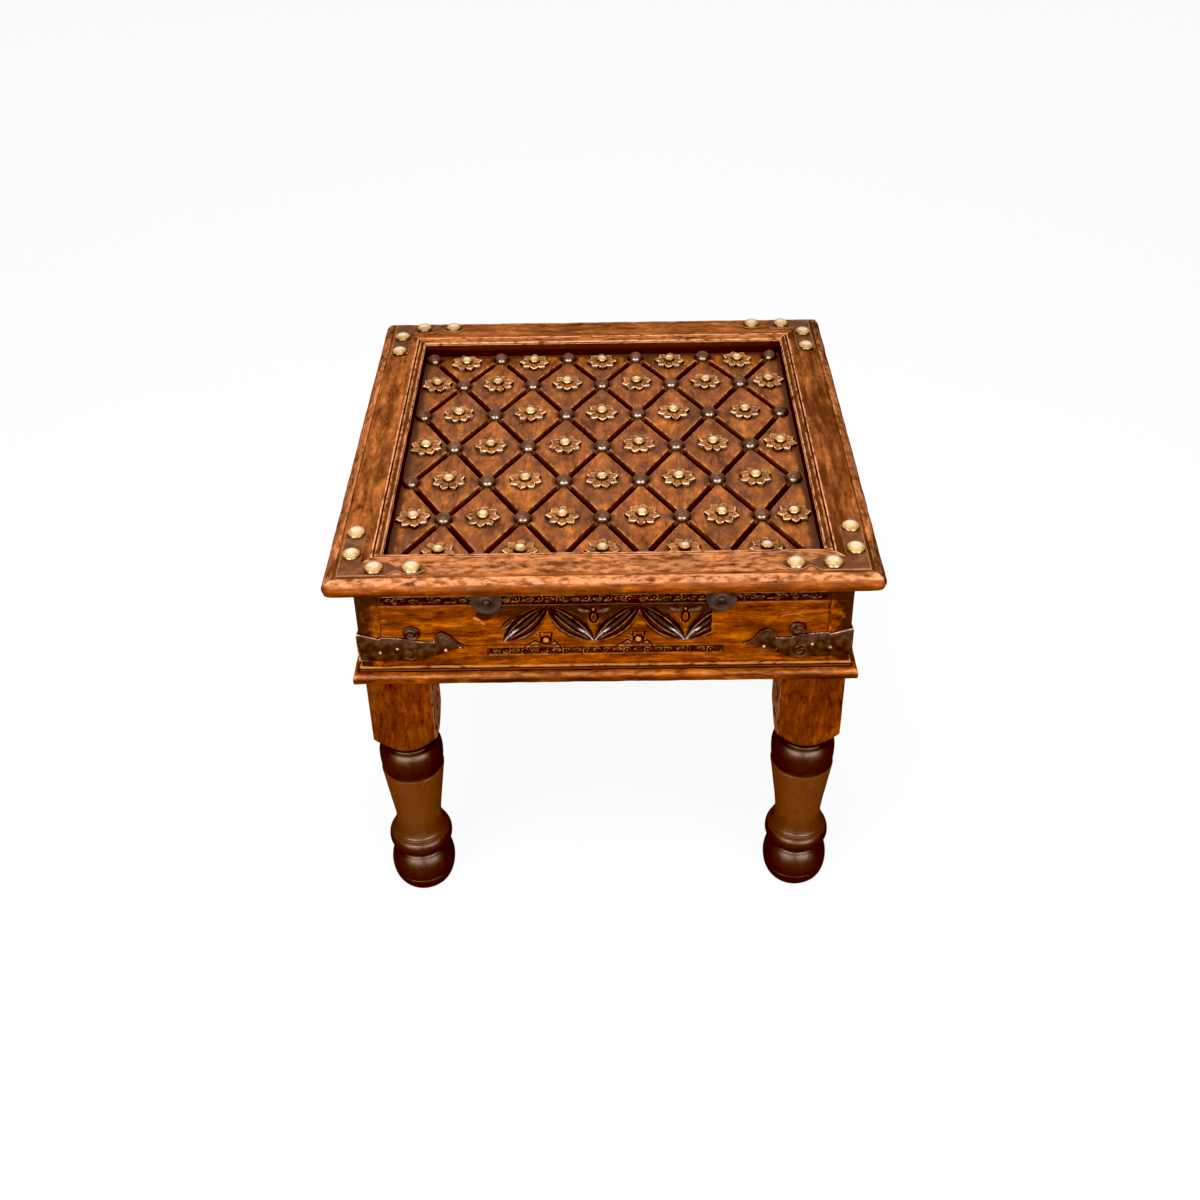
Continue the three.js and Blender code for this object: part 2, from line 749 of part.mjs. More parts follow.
// One arm of a corner strap, lying on the front face at its left end
function strapArm() {
  const lobeSides = 12;
  const nailSides = 6;
  const proud = fitGap + strapThickness;
  const points = strapOutline().map(([reach, level]) => [reach - boxHalf, level]);
  const sheet = flatPlate(points, fitGap, proud).rotateX(quarterTurn).translate(0, -boxHalf, 0);
  let arm = toSolid(sheet);
  const lobeX = strapLobeReach - boxHalf;
  for (const rise of [strapUpperLobeRise, strapLowerLobeRise]) {
    arm = arm.add(frontRound(
      lobeX, strapFoot + rise, strapLobeRadius, fitGap, proud + strapLobeProud, lobeSides,
    ));
  }
  arm = arm.add(toSolid(block(
    lobeX - strapLobeNeckWidth / 2, lobeX + strapLobeNeckWidth / 2,
    -boxHalf - proud - strapLobeProud, -boxHalf - fitGap,
    strapFoot + strapLowerLobeRise, strapFoot + strapUpperLobeRise,
  )));
  for (const reach of strapNailReaches) {
    arm = arm.add(frontDome(
      reach - boxHalf, strapFoot + strapNailRise, strapNailRadius, proud, strapNailHeight, nailSides,
    ));
  }
  return arm;
}

// The second arm is the first one mirrored across the corner's diagonal
function mirrorAcrossDiagonal(solid) {
  const geometry = toGeometry(solid);
  const position = geometry.attributes.position;
  for (let index = 0; index < position.count; index += 1) {
    position.setXYZ(index, position.getY(index), position.getX(index), position.getZ(index));
  }
  const faces = geometry.index.array;
  for (let first = 0; first < faces.length; first += 3) {
    [faces[first], faces[first + 1]] = [faces[first + 1], faces[first]];
  }
  return toSolid(geometry);
}

function buildStraps() {
  const arm = strapArm();
  const strap = arm.add(mirrorAcrossDiagonal(arm));
  for (const corner of corners) {
    addPiece(`${corner.name}_corner_strap`, toGeometry(strap), iron, corner.turn);
  }
}

function buildDiscs() {
  const nailSides = 8;
  const discLevel = apronTop - discTopGap - discRadius;
  for (const side of sides) {
    for (const [hand, sign] of [['left', -1], ['right', 1]]) {
      const x = sign * discReach;
      const proud = fitGap + discThickness;
      const plate = frontRound(x, discLevel, discRadius, fitGap, proud, discSides);
      const disc = plate.add(frontDome(x, discLevel, discNailRadius, proud, discNailHeight, nailSides));
      addPiece(`${side.name}_${hand}_disc`, toGeometry(disc), iron, side.turn);
    }
  }
}

buildRails();
buildPanel();
buildAprons();
buildMouldings();
buildCleats();
buildLegs();
buildCornerFittings();
buildStraps();
buildDiscs();

export default group;
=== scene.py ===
import math
import random

import bmesh
import bpy
import numpy as np
from mathutils import Matrix, Vector, noise


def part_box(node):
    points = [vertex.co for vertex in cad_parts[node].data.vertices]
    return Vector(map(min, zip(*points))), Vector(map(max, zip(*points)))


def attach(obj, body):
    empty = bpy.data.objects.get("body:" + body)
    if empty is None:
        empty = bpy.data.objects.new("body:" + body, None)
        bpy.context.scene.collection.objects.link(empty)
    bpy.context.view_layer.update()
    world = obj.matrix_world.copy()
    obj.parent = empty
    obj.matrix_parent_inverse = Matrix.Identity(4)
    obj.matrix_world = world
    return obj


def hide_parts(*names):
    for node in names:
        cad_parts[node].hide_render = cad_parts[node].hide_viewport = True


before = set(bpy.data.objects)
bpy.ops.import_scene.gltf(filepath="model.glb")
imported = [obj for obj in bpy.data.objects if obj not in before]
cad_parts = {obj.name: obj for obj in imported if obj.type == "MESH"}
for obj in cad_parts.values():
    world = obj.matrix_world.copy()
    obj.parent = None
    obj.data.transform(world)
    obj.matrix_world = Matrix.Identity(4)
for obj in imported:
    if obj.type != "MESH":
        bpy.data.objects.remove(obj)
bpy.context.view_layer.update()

quarter_turn = math.pi / 2
half_turn = math.pi
full_turn = 2 * math.pi
side_turns = (0, quarter_turn, half_turn, -quarter_turn)
sides = dict(zip(("front", "right", "back", "left"), side_turns))
corners = dict(zip(("front_left", "front_right", "back_right", "back_left"), side_turns))
board_grain = {"front": "x", "right": "y", "back": "x", "left": "y"}

# Places taken from the CAD pieces, in metres
rail_low, rail_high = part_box("front_top_rail")
apron_low, apron_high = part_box("front_apron")
moulding_low, moulding_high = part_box("front_base_moulding")
panel_low, panel_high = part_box("lattice_panel")
plate_low, plate_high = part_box("front_left_corner_plate")
top_half = -rail_low.y
top_level = rail_high.z
rail_foot = rail_low.z
rail_width = rail_high.y - rail_low.y
recess_half = top_half - rail_width
box_half = -apron_low.y
box_inner = -apron_high.y
box_foot = apron_low.z
box_top = apron_high.z
moulding_half = -moulding_low.y
moulding_top = moulding_high.z
panel_half = panel_high.x
panel_foot = panel_low.z
panel_level = box_top

# Camera and light
camera_place = Vector((0.00884, -1.22217, 1.16087))
camera_aim = Vector((-0.00109, 0, 0.33586))
camera_roll = -0.01797
camera_lens = 43.78
camera_shift = (-0.0024, -0.0874)
sensor_width = 36
black_level = 0.016
light_aim = (0, 0, 0.35)
white = (1, 1, 1, 1)

# Each soft box: name, place, width, height, power, and whether it gives light, shine or both
soft_boxes = (
    ("left_soft_box", (-0.95, -1.32, 0.56), 0.6, 0.6, 11, "light"),
    ("right_soft_box", (0.95, -1.32, 0.56), 0.6, 0.6, 10, "light"),
    ("left_shine", (-0.64, -1.4, 0.58), 1.1, 1.0, 66, "shine"),
    ("right_shine", (0.74, -1.4, 0.58), 1.1, 1.0, 62, "shine"),
    ("overhead_soft_box", (-0.1, -0.5, 1.55), 1.0, 0.8, 23, "light"),
    ("overhead_shine", (-0.1, -0.5, 1.55), 0.4, 0.35, 3, "shine"),
    ("back_wall", (0, 2.2, 1.75), 3.2, 1.6, 6, "both"),
)

# How bright the room is for other rays, for reflected rays and for the camera's rays
room_strengths = (0.5, 0.06, 1.0)

# The floor's colours for other rays, for reflected rays and for the camera's rays
floor_colours = ((0.62, 0.52, 0.42), (0.1, 0.05, 0.03), (0.1, 0.1, 0.1))
floor_glow = 0.9
floor_half = 4

# A scattered piece is turned by anything up to this, in radians
most_turn = 6.28


def build_camera():
    camera = bpy.data.cameras.new("camera")
    camera.lens = camera_lens
    camera.sensor_width = sensor_width
    camera.shift_x, camera.shift_y = camera_shift
    back = (camera_place - camera_aim).normalized()
    right = Vector((0, 0, 1)).cross(back).normalized()
    up = back.cross(right)
    turn = Matrix((right, up, back)).transposed() @ Matrix.Rotation(camera_roll, 3, "Z")
    holder = bpy.data.objects.new("camera", camera)
    holder.matrix_world = Matrix.Translation(camera_place) @ turn.to_4x4()
    bpy.context.scene.collection.objects.link(holder)
    bpy.context.scene.camera = holder


def soft_box(name, place, width, height, power, gives):
    light = bpy.data.lights.new(name, "AREA")
    light.shape = "RECTANGLE"
    light.size = width
    light.size_y = height
    light.energy = power
    holder = bpy.data.objects.new(name, light)
    holder.visible_diffuse = gives != "shine"
    holder.visible_glossy = gives != "light"
    holder.location = place
    holder.rotation_euler = (Vector(light_aim) - Vector(place)).to_track_quat("-Z", "Y").to_euler()
    bpy.context.scene.collection.objects.link(holder)


# What a ray finds depends on its kind: the camera's ray, a reflected ray, or any other
def add_shader_by_ray(tree, path, other, reflected, seen):
    glossy = add_node(tree, "ShaderNodeMixShader", {
        0: path.outputs["Is Glossy Ray"], 1: other.outputs[0], 2: reflected.outputs[0],
    })
    return add_node(tree, "ShaderNodeMixShader", {
        0: path.outputs["Is Camera Ray"], 1: glossy.outputs[0], 2: seen.outputs[0],
    }).outputs[0]


def build_world():
    world = bpy.data.worlds.new("studio")
    world.use_nodes = True
    tree = world.node_tree
    tree.nodes.clear()
    path = add_node(tree, "ShaderNodeLightPath")
    sky, reflected, seen = (
        add_node(tree, "ShaderNodeBackground", {"Color": white, "Strength": strength})
        for strength in room_strengths
    )
    add_node(tree, "ShaderNodeOutputWorld", {"Surface": add_shader_by_ray(tree, path, sky, reflected, seen)})
    bpy.context.scene.world = world


def build_light():
    for box in soft_boxes:
        soft_box(*box)
    build_world()
    view = bpy.context.scene.view_settings
    view.view_transform = "Standard"
    view.use_curve_mapping = True
    view.curve_mapping.black_level = (black_level, black_level, black_level)
    view.curve_mapping.update()


def pale_floor():
    material, tree = new_material("pale floor")
    path = add_node(tree, "ShaderNodeLightPath")
    lit, reflected, shaded = (
        add_node(tree, "ShaderNodeBsdfDiffuse", {"Color": (*colour, 1)}) for colour in floor_colours
    )
    glow = add_node(tree, "ShaderNodeEmission", {"Color": white, "Strength": floor_glow})
    seen = add_node(tree, "ShaderNodeAddShader", {0: shaded.outputs[0], 1: glow.outputs[0]})
    add_node(tree, "ShaderNodeOutputMaterial", {"Surface": add_shader_by_ray(tree, path, lit, reflected, seen)})
    return material


def build_floor():
    half = floor_half
    places = [(-half, -half, 0), (half, -half, 0), (half, half, 0), (-half, half, 0)]
    mesh = mesh_of("floor", places, [(0, 1, 2, 3)])
    mesh.materials.append(pale_floor())
    floor = bpy.data.objects.new("floor", mesh)
    bpy.context.scene.collection.objects.link(floor)


# Node helpers
def add_node(tree, kind, inputs=None, **settings):
    node = tree.nodes.new(kind)
    for name, value in settings.items():
        setattr(node, name, value)
    for key, value in (inputs or {}).items():
        if isinstance(value, bpy.types.NodeSocket):
            tree.links.new(value, node.inputs[key])
        else:
            node.inputs[key].default_value = value
    return node


colour_socket, number_socket, vector_socket = "NodeSocketColor", "NodeSocketFloat", "NodeSocketVector"


# A finish takes a place, some tones and some amounts, and gives a colour and some numbers
def new_group(name, tones, amounts, numbers):
    group = bpy.data.node_groups.new(name, "ShaderNodeTree")
    sockets = (
        ("INPUT", vector_socket, ("Place",)), ("INPUT", colour_socket, tones), ("INPUT", number_socket, amounts),
        ("OUTPUT", colour_socket, ("Colour",)), ("OUTPUT", number_socket, numbers),
    )
    for in_out, kind, names in sockets:
        for socket in names:
            group.interface.new_socket(socket, in_out=in_out, socket_type=kind)
    entry = group.nodes.new("NodeGroupInput")
    leave = group.nodes.new("NodeGroupOutput")
    return group, entry, leave


def add_math(tree, operation, first, second=0.0, third=0.0, clamp=False):
    inputs = {0: first, 1: second, 2: third}
    return add_node(tree, "ShaderNodeMath", inputs, operation=operation, use_clamp=clamp).outputs[0]


def add_range(tree, value, low, high, out_low=0.0, out_high=1.0):
    inputs = {"Value": value, "From Min": low, "From Max": high, "To Min": out_low, "To Max": out_high}
    return add_node(tree, "ShaderNodeMapRange", inputs, interpolation_type="SMOOTHSTEP").outputs[0]


def add_mix(tree, share, first, second, blend="MIX"):
    node = add_node(tree, "ShaderNodeMix", data_type="RGBA", blend_type=blend)
    for index, value in ((0, share), (6, first), (7, second)):
        if isinstance(value, bpy.types.NodeSocket):
            tree.links.new(value, node.inputs[index])
        else:
            node.inputs[index].default_value = value
    return node.outputs[2]


def add_noise(tree, place, stretch, scale, detail, roughness=0.55):
    drawn = add_node(tree, "ShaderNodeVectorMath", {0: place, 1: stretch}, operation="MULTIPLY").outputs[0]
    inputs = {"Vector": drawn, "Scale": scale, "Detail": detail, "Roughness": roughness}
    return add_node(tree, "ShaderNodeTexNoise", inputs).outputs[0]


def read_attribute(tree, name):
    node = add_node(tree, "ShaderNodeAttribute", attribute_name=name, attribute_type="GEOMETRY")
    return node.outputs["Fac"]


def add_blend(tree, share, first, second):
    return add_node(tree, "ShaderNodeMix", {0: share, 2: first, 3: second}, data_type="FLOAT").outputs[0]


# Stained old wood: streaks and fibres along X of its place, patches, dark smears, worn edges with painted
# highlights, and painted shade in hollows and creases
wood_tones = ("Dark", "Middle", "Light", "Worn And Lit", "Stain And Shade")
wood_amounts = ("Streaks", "Smears", "Wear", "Shade Strength", "Flecks", "Coat")
# Painted shade colours: a deeper tint under a rail's nose, and the shade on hollow walls and at hollow bottoms
under_nose_shade_tint = (0.92, 0.66, 0.2, 1)
hollow_wall_shade = (0.85, 0.8, 0.9, 1)
hollow_floor_shade = (0.12, 0.1, 0.09, 1)


# The place is pushed a little off its line, so that streaks and fibres wander
def add_swirl(group, place):
    swirl_noise = {"Vector": place, "Scale": 22.0, "Detail": 2.0}
    swirl = add_node(group, "ShaderNodeTexNoise", swirl_noise).outputs[1]
    centred = add_node(group, "ShaderNodeVectorMath", {0: swirl, 1: (0.5,) * 3}, operation="SUBTRACT").outputs[0]
    swirled = {0: centred, 1: (0.008,) * 3, 2: place}
    return add_node(group, "ShaderNodeVectorMath", swirled, operation="MULTIPLY_ADD").outputs[0]


def add_wood_noises(group, place):
    return {
        "streak": add_noise(group, place, (1, 7, 7), 26.0, 5.0, 0.66),
        "fibre": add_noise(group, place, (1, 14, 14), 80.0, 3.0, 0.6),
        "patch": add_noise(group, place, (1, 1.6, 1.6), 36.0, 6.0, 0.68),
        "smear": add_noise(group, place, (1, 3.2, 3.2), 17.0, 6.0, 0.7),
        "fleck": add_noise(group, place, (1, 4, 4), 170.0, 2.0, 0.5),
        "rough": add_noise(group, place, (1, 2.2, 2.2), 110.0, 4.0, 0.6),
    }


# The wood's own colour, from dark over middle to light
def add_figure(group, sockets, noises):
    tone = add_blend(group, sockets["Streaks"], noises["patch"], noises["streak"])
    for fine in (noises["fibre"], noises["rough"]):
        tone = add_math(group, "MULTIPLY_ADD", add_math(group, "SUBTRACT", fine, 0.5), 0.3, tone)
    darker = add_mix(group, add_range(group, tone, 0.32, 0.5), sockets["Dark"], sockets["Middle"])
    return add_mix(group, add_range(group, tone, 0.48, 0.7), darker, sockets["Light"])


# Dark smears and pale flecks anywhere, and the noted stain and painted shade where the points carry them
def add_stains_and_shade(group, sockets, noises, place, figured):
    clean = add_math(group, "MULTIPLY_ADD", read_attribute(group, "stain"), 2.5, 1.0, clamp=True)
    smeared = add_math(group, "MULTIPLY", add_range(group, noises["smear"], 0.46, 0.68), sockets["Smears"])
    smeared = add_math(group, "MULTIPLY", smeared, clean)
    figured = add_mix(group, smeared, figured, sockets["Stain And Shade"])
    flecked = add_math(group, "MULTIPLY", add_range(group, noises["fleck"], 0.66, 0.76), sockets["Flecks"])
    figured = add_mix(group, flecked, figured, sockets["Worn And Lit"])
    long_streak = add_noise(group, place, (1, 9, 9), 15.0, 3.0, 0.55)
    blotch = add_blend(group, sockets["Streaks"], noises["patch"], long_streak)
    missing = add_math(group, "SUBTRACT", 0.5, blotch)
    blotchy = add_math(group, "MULTIPLY_ADD", missing, 1.5, read_attribute(group, "stain"))
    return add_mix(group, add_range(group, blotchy, 0.28, 0.72), figured, sockets["Stain And Shade"])


def add_wear(group, sockets, rough, figured):
    # Worn places and painted highlights take the worn and lit tone
    worn_and_lit = read_attribute(group, "worn_and_lit")
    rub_and_highlight = add_math(group, "MULTIPLY", worn_and_lit, add_range(group, rough, 0.3, 0.6, 0.25, 1.5))
    rub_and_highlight = add_math(group, "MULTIPLY", add_range(group, rub_and_highlight, 0.12, 0.75), sockets["Wear"])
    figured = add_mix(group, rub_and_highlight, figured, sockets["Worn And Lit"])
    # Painted shade under a rail's nose: the colour is tinted deeper there
    deep = add_mix(group, 1.0, figured, under_nose_shade_tint, "MULTIPLY")
    return add_mix(group, read_attribute(group, "under_nose_shade"), figured, deep)


# Painted shade: hollows and creases are painted darker on their walls and black at their bottom
def add_painted_shade(group, sockets, figured):
    shaded = add_mix(group, 1.0, sockets["Dark"], hollow_wall_shade, "MULTIPLY")
    black = add_mix(group, 1.0, sockets["Dark"], hollow_floor_shade, "MULTIPLY")
    hollow = add_math(group, "MAXIMUM", read_attribute(group, "crease_shade"), read_attribute(group, "hollow_shade"))
    walled = add_math(group, "MULTIPLY", add_range(group, hollow, 0.05, 0.45), sockets["Shade Strength"], clamp=True)
    bottom = add_math(group, "MULTIPLY", add_range(group, hollow, 0.68, 1.05), sockets["Shade Strength"], clamp=True)
    figured = add_mix(group, walled, figured, shaded)
    return hollow, add_mix(group, bottom, figured, black)


def build_wood_figure():
    numbers = ("Roughness", "Height", "Coat")
    group, entry, leave = new_group("stained wood figure", wood_tones, wood_amounts, numbers)
    sockets = entry.outputs
    place = add_swirl(group, sockets["Place"])
    noises = add_wood_noises(group, place)
    rough = noises["rough"]
    figured = add_figure(group, sockets, noises)
    figured = add_stains_and_shade(group, sockets, noises, place, figured)
    figured = add_wear(group, sockets, rough, figured)
    hollow, figured = add_painted_shade(group, sockets, figured)
    fibres = add_math(group, "MULTIPLY", noises["fibre"], 0.4)
    height = add_math(group, "MULTIPLY_ADD", noises["streak"], 0.5, fibres)
    height = add_math(group, "MULTIPLY_ADD", rough, 0.6, height)
    group.links.new(figured, leave.inputs["Colour"])
    polished = read_attribute(group, "polished")
    dull = add_math(group, "MULTIPLY", hollow, add_math(group, "SUBTRACT", 0.9, polished))
    dull = add_math(group, "ADD", dull, add_range(group, rough, 0.3, 0.7))
    group.links.new(add_math(group, "MULTIPLY_ADD", polished, -0.9, dull), leave.inputs["Roughness"])
    kept = add_math(group, "MULTIPLY", sockets["Coat"], add_math(group, "SUBTRACT", 1.0, hollow))
    group.links.new(add_math(group, "ADD", kept, polished, clamp=True), leave.inputs["Coat"])
    group.links.new(height, leave.inputs["Height"])
    return group


def new_material(name):
    material = bpy.data.materials.new(name)
    material.use_nodes = True
    material.node_tree.nodes.clear()
    return material, material.node_tree


grain_turns = {"x": (0, 0, 0), "y": (0, 0, quarter_turn), "z": (0, quarter_turn, 0)}
wood_relief = 0.0006
metal_relief = 0.0005


# A finish starts from its group, whose colours and amounts are filled in by name
def filled_group(tree, group, place, colours, amounts):
    node = add_node(tree, "ShaderNodeGroup", node_tree=group)
    tree.links.new(place, node.inputs["Place"])
    for name, value in colours:
        node.inputs[name].default_value = (*value, 1)
    for name, value in amounts:
        node.inputs[name].default_value = value
    return node.outputs


def add_bump(tree, height, strength, distance):
    inputs = {"Height": height, "Strength": strength, "Distance": distance}
    return add_node(tree, "ShaderNodeBump", inputs).outputs[0]


# The tones are dark, middle, light, worn and lit, and stain and shade, in that order
def stained_wood(name, grain, tones, gloss=(0.3, 0.5), streaks=0.6, smears=0.6, wear=0.8, shade_strength=0.95,
                 flecks=0.4, bump=0.4, coat=0.15, sheen=(1, 0.8, 0.62), specular=0.5):
    material, tree = new_material(name)
    place = add_node(tree, "ShaderNodeTexCoord").outputs["Object"]
    turned = add_node(tree, "ShaderNodeMapping", {"Vector": place, "Rotation": grain_turns[grain]}).outputs[0]
    amounts = zip(wood_amounts, (streaks, smears, wear, shade_strength, flecks, coat))
    figure = filled_group(tree, wood_figure, turned, zip(wood_tones, tones), amounts)
    roughness = add_math(tree, "MULTIPLY_ADD", figure["Roughness"], gloss[1] - gloss[0], gloss[0] + 0.03)
    relief = add_bump(tree, figure["Height"], bump, wood_relief)
    shader = add_node(tree, "ShaderNodeBsdfPrincipled", {
        "Base Color": figure["Colour"], "Roughness": roughness, "Normal": relief,
        "Coat Weight": figure["Coat"], "Coat Roughness": 0.22, "Specular Tint": (*sheen, 1),
        "Specular IOR Level": specular,
    })
    add_node(tree, "ShaderNodeOutputMaterial", {"Surface": shader.outputs[0]})
    return material


# Metal with a worn, slightly hammered skin, painted highlights in its bright tone and painted shade in its
# creases and at its feet
metal_tones = ("Base", "Stain And Shade", "Bright")
metal_amounts = ("Wear", "Grain Size")
metal_shade_colour = (0.012, 0.007, 0.004, 1)


def build_metal_skin():
    group, entry, leave = new_group("worn metal skin", metal_tones, metal_amounts, ("Roughness", "Height"))
    sockets = entry.outputs
    place = sockets["Place"]
    scale = add_math(group, "DIVIDE", 1.0, sockets["Grain Size"])
    blotch = add_node(group, "ShaderNodeTexNoise", {"Vector": place, "Scale": scale, "Detail": 5.0}).outputs[0]
    finer = add_math(group, "MULTIPLY", scale, 5.0)
    fine = add_node(group, "ShaderNodeTexNoise", {"Vector": place, "Scale": finer, "Detail": 3.0}).outputs[0]
    stained = add_mix(group, add_range(group, blotch, 0.42, 0.66), sockets["Base"], sockets["Stain And Shade"])
    worn_and_lit = read_attribute(group, "worn_and_lit")
    rub_and_highlight = add_math(group, "MULTIPLY", worn_and_lit, add_range(group, fine, 0.3, 0.7, 0.4, 1.4))
    rub_and_highlight = add_math(group, "MULTIPLY", add_range(group, rub_and_highlight, 0.1, 0.7), sockets["Wear"])
    shown = add_mix(group, rub_and_highlight, stained, sockets["Bright"])
    # Painted shade: creases and noted feet are painted near black
    hollow = add_math(group, "MULTIPLY", add_range(group, read_attribute(group, "crease_shade"), 0.1, 0.8), 0.9)
    shown = add_mix(group, hollow, shown, metal_shade_colour)
    group.links.new(shown, leave.inputs["Colour"])
    group.links.new(add_range(group, blotch, 0.3, 0.7), leave.inputs["Roughness"])
    group.links.new(add_math(group, "MULTIPLY_ADD", fine, 0.35, blotch), leave.inputs["Height"])
    return group


# The tones are base, stain and bright, in that order
def worn_metal(name, tones, gloss, metallic, wear, grain_size, bump, specular=0.5):
    material, tree = new_material(name)
    place = add_node(tree, "ShaderNodeTexCoord").outputs["Object"]
    amounts = zip(metal_amounts, (wear, grain_size))
    skin = filled_group(tree, metal_skin, place, zip(metal_tones, tones), amounts)
    roughness = add_range(tree, skin["Roughness"], 0.0, 1.0, gloss[0], gloss[1])
    relief = add_bump(tree, skin["Height"], bump, metal_relief)
    shader = add_node(tree, "ShaderNodeBsdfPrincipled", {
        "Base Color": skin["Colour"], "Roughness": roughness, "Normal": relief, "Metallic": metallic,
        "Specular IOR Level": specular,
    })
    add_node(tree, "ShaderNodeOutputMaterial", {"Surface": shader.outputs[0]})
    return material


wood_figure = build_wood_figure()
metal_skin = build_metal_skin()

rail_tones = (
    (0.06, 0.014, 0.004), (0.235, 0.068, 0.02), (0.51, 0.157, 0.036), (0.8, 0.36, 0.17), (0.078, 0.024, 0.008),
)
box_tones = (
    (0.05, 0.01, 0.001), (0.178, 0.036, 0.002), (0.47, 0.12, 0.005), (0.62, 0.235, 0.06), (0.04, 0.012, 0.004),
)
panel_tones = (
    (0.07, 0.018, 0.005), (0.22, 0.062, 0.016), (0.5, 0.15, 0.024), (0.8, 0.34, 0.13), (0.08, 0.03, 0.015),
)
leg_tones = (
    (0.026, 0.005, 0.001), (0.1, 0.02, 0.002), (0.245, 0.052, 0.002), (0.5, 0.22, 0.12), (0.125, 0.039, 0.013),
)
boss_tones = (
    (0.05, 0.022, 0.013), (0.115, 0.048, 0.027), (0.22, 0.09, 0.046), (0.3, 0.15, 0.09), (0.07, 0.03, 0.018),
)
flower_tones = (
    (0.075, 0.026, 0.009), (0.27, 0.097, 0.028), (0.5, 0.2, 0.06), (1.0, 0.6, 0.3), (0.07, 0.032, 0.021),
)
plain_tones = ((0.2, 0.1, 0.045), (0.38, 0.22, 0.11), (0.5, 0.31, 0.16), (0.6, 0.4, 0.22), (0.2, 0.11, 0.06))
iron_tones = ((0.034, 0.012, 0.004), (0.066, 0.023, 0.008), (0.95, 0.6, 0.44))
black_iron_tones = ((0.03, 0.013, 0.007), (0.045, 0.02, 0.011), (0.3, 0.17, 0.1))
plate_iron_tones = ((0.115, 0.04, 0.016), (0.2, 0.07, 0.025), (0.6, 0.3, 0.15))
brass_tones = ((0.84, 0.48, 0.18), (0.6, 0.3, 0.09), (1.0, 0.86, 0.64))


# Rails and box boards run along X on two sides of the table and along Y on the others
def wood_both_ways(name, tones, **looks):
    return {grain: stained_wood(f"{name} along {grain.upper()}", grain, tones, **looks) for grain in "xy"}


rail_wood = wood_both_ways(
    "rail wood", rail_tones, gloss=(0.42, 0.6), streaks=0.7, smears=0.75, coat=0.0, specular=0.08,
)
box_wood = wood_both_ways(
    "box wood", box_tones, gloss=(0.28, 0.44), streaks=0.75, smears=0.7, wear=0.6, coat=0.03, specular=0.1,
)
panel_wood = stained_wood(
    "panel wood", "y", panel_tones, gloss=(0.34, 0.5), streaks=0.2, smears=0.7, wear=1.0, bump=0.6, coat=0.06,
)
leg_wood = stained_wood(
    "leg wood", "z", leg_tones, gloss=(0.22, 0.34), streaks=0.6, smears=0.3, wear=0.8, flecks=0.1, coat=0.03,
    bump=0.1, sheen=(1, 0.78, 0.6), specular=0.22,
)
boss_wood = stained_wood(
    "boss wood", "z", boss_tones, gloss=(0.16, 0.24), streaks=0.3, smears=0.3, wear=0.3, flecks=0.1, coat=0.35,
    bump=0.1, specular=1.0,
)
flower_wood = stained_wood(
    "flower wood", "x", flower_tones, gloss=(0.28, 0.45), streaks=0.2, smears=0.5, wear=1.0, shade_strength=1.0,
    flecks=0.2,
)
plain_wood = stained_wood("plain wood", "x", plain_tones, gloss=(0.6, 0.8), smears=0.2, wear=0.4, coat=0.0)
iron = worn_metal("dark iron", iron_tones, (0.36, 0.54), 0.1, 0.8, 0.006, 0.5, specular=0.08)
black_iron = worn_metal("black iron", black_iron_tones, (0.45, 0.6), 0.1, 0.5, 0.007, 0.3, specular=0.12)
plate_iron = worn_metal(
    "brown plate iron", plate_iron_tones, (0.36, 0.52), 0.12, 0.45, 0.009, 0.35, specular=0.4,
)
brass = worn_metal("pale brass", brass_tones, (0.24, 0.36), 0.5, 0.9, 0.006, 0.08)


# Number helpers
def smooth_step(low, high, value):
    share = np.clip((value - low) / (high - low), 0, 1)
    return share * share * (3 - 2 * share)


# A hump of height one round the middle, fading out over the reach
def hump(value, middle, reach):
    return np.exp(-(((value - middle) / reach) ** 2))


def ripple(places, size, seed):
    shift = Vector((seed * 7.31, seed * 3.17, seed * 5.73))
    return np.array([noise.noise(Vector(place) / size + shift) for place in places])


def turned_places(places, angle):
    x, y, z = np.asarray(places).T
    cosine, sine = math.cos(angle), math.sin(angle)
    return np.column_stack((x * cosine - y * sine, x * sine + y * cosine, z))


# A face on a side of the box, given as across, up and proud of the board, becomes a place in the table
def side_places(places, angle):
    across, up, proud = np.asarray(places).T
    return turned_places(np.column_stack((across, -box_half - proud, up)), angle)


def round_angles(count):
    return np.linspace(0, full_turn, count, endpoint=False)


# A ring round the upright axis; its radius and level are one number, or one for each angle
def ring_at(radius, level, angles):
    levels = np.broadcast_to(level, len(angles))
    return np.column_stack((radius * np.cos(angles), radius * np.sin(angles), levels))


# Mesh helpers
def mesh_of(name, places, faces):
    mesh = bpy.data.meshes.new(name)
    mesh.from_pydata([tuple(place) for place in places], [], faces)
    mesh.update()
    return mesh


def change_mesh(mesh, change):
    work = bmesh.new()
    work.from_mesh(mesh)
    change(work)
    work.to_mesh(mesh)
    work.free()
    mesh.update()


def face_outwards(mesh):
    change_mesh(mesh, lambda work: bmesh.ops.recalc_face_normals(work, faces=work.faces))


# A closed skin over rings that follow one another
def loft(name, rings):
    rings = np.asarray(rings)
    count, points = rings.shape[0], rings.shape[1]
    faces = []
    for ring in range(count - 1):
        for point in range(points):
            following = (point + 1) % points
            first, second = ring * points, (ring + 1) * points
            faces.append((first + point, first + following, second + following, second + point))
    faces.append(tuple(reversed(range(points))))
    faces.append(tuple(range((count - 1) * points, count * points)))
    return mesh_of(name, rings.reshape(-1, 3), faces)


def read_vectors(mesh, kind):
    values = np.empty(len(mesh.vertices) * 3)
    mesh.vertices.foreach_get(kind, values)
    return values.reshape(-1, 3)


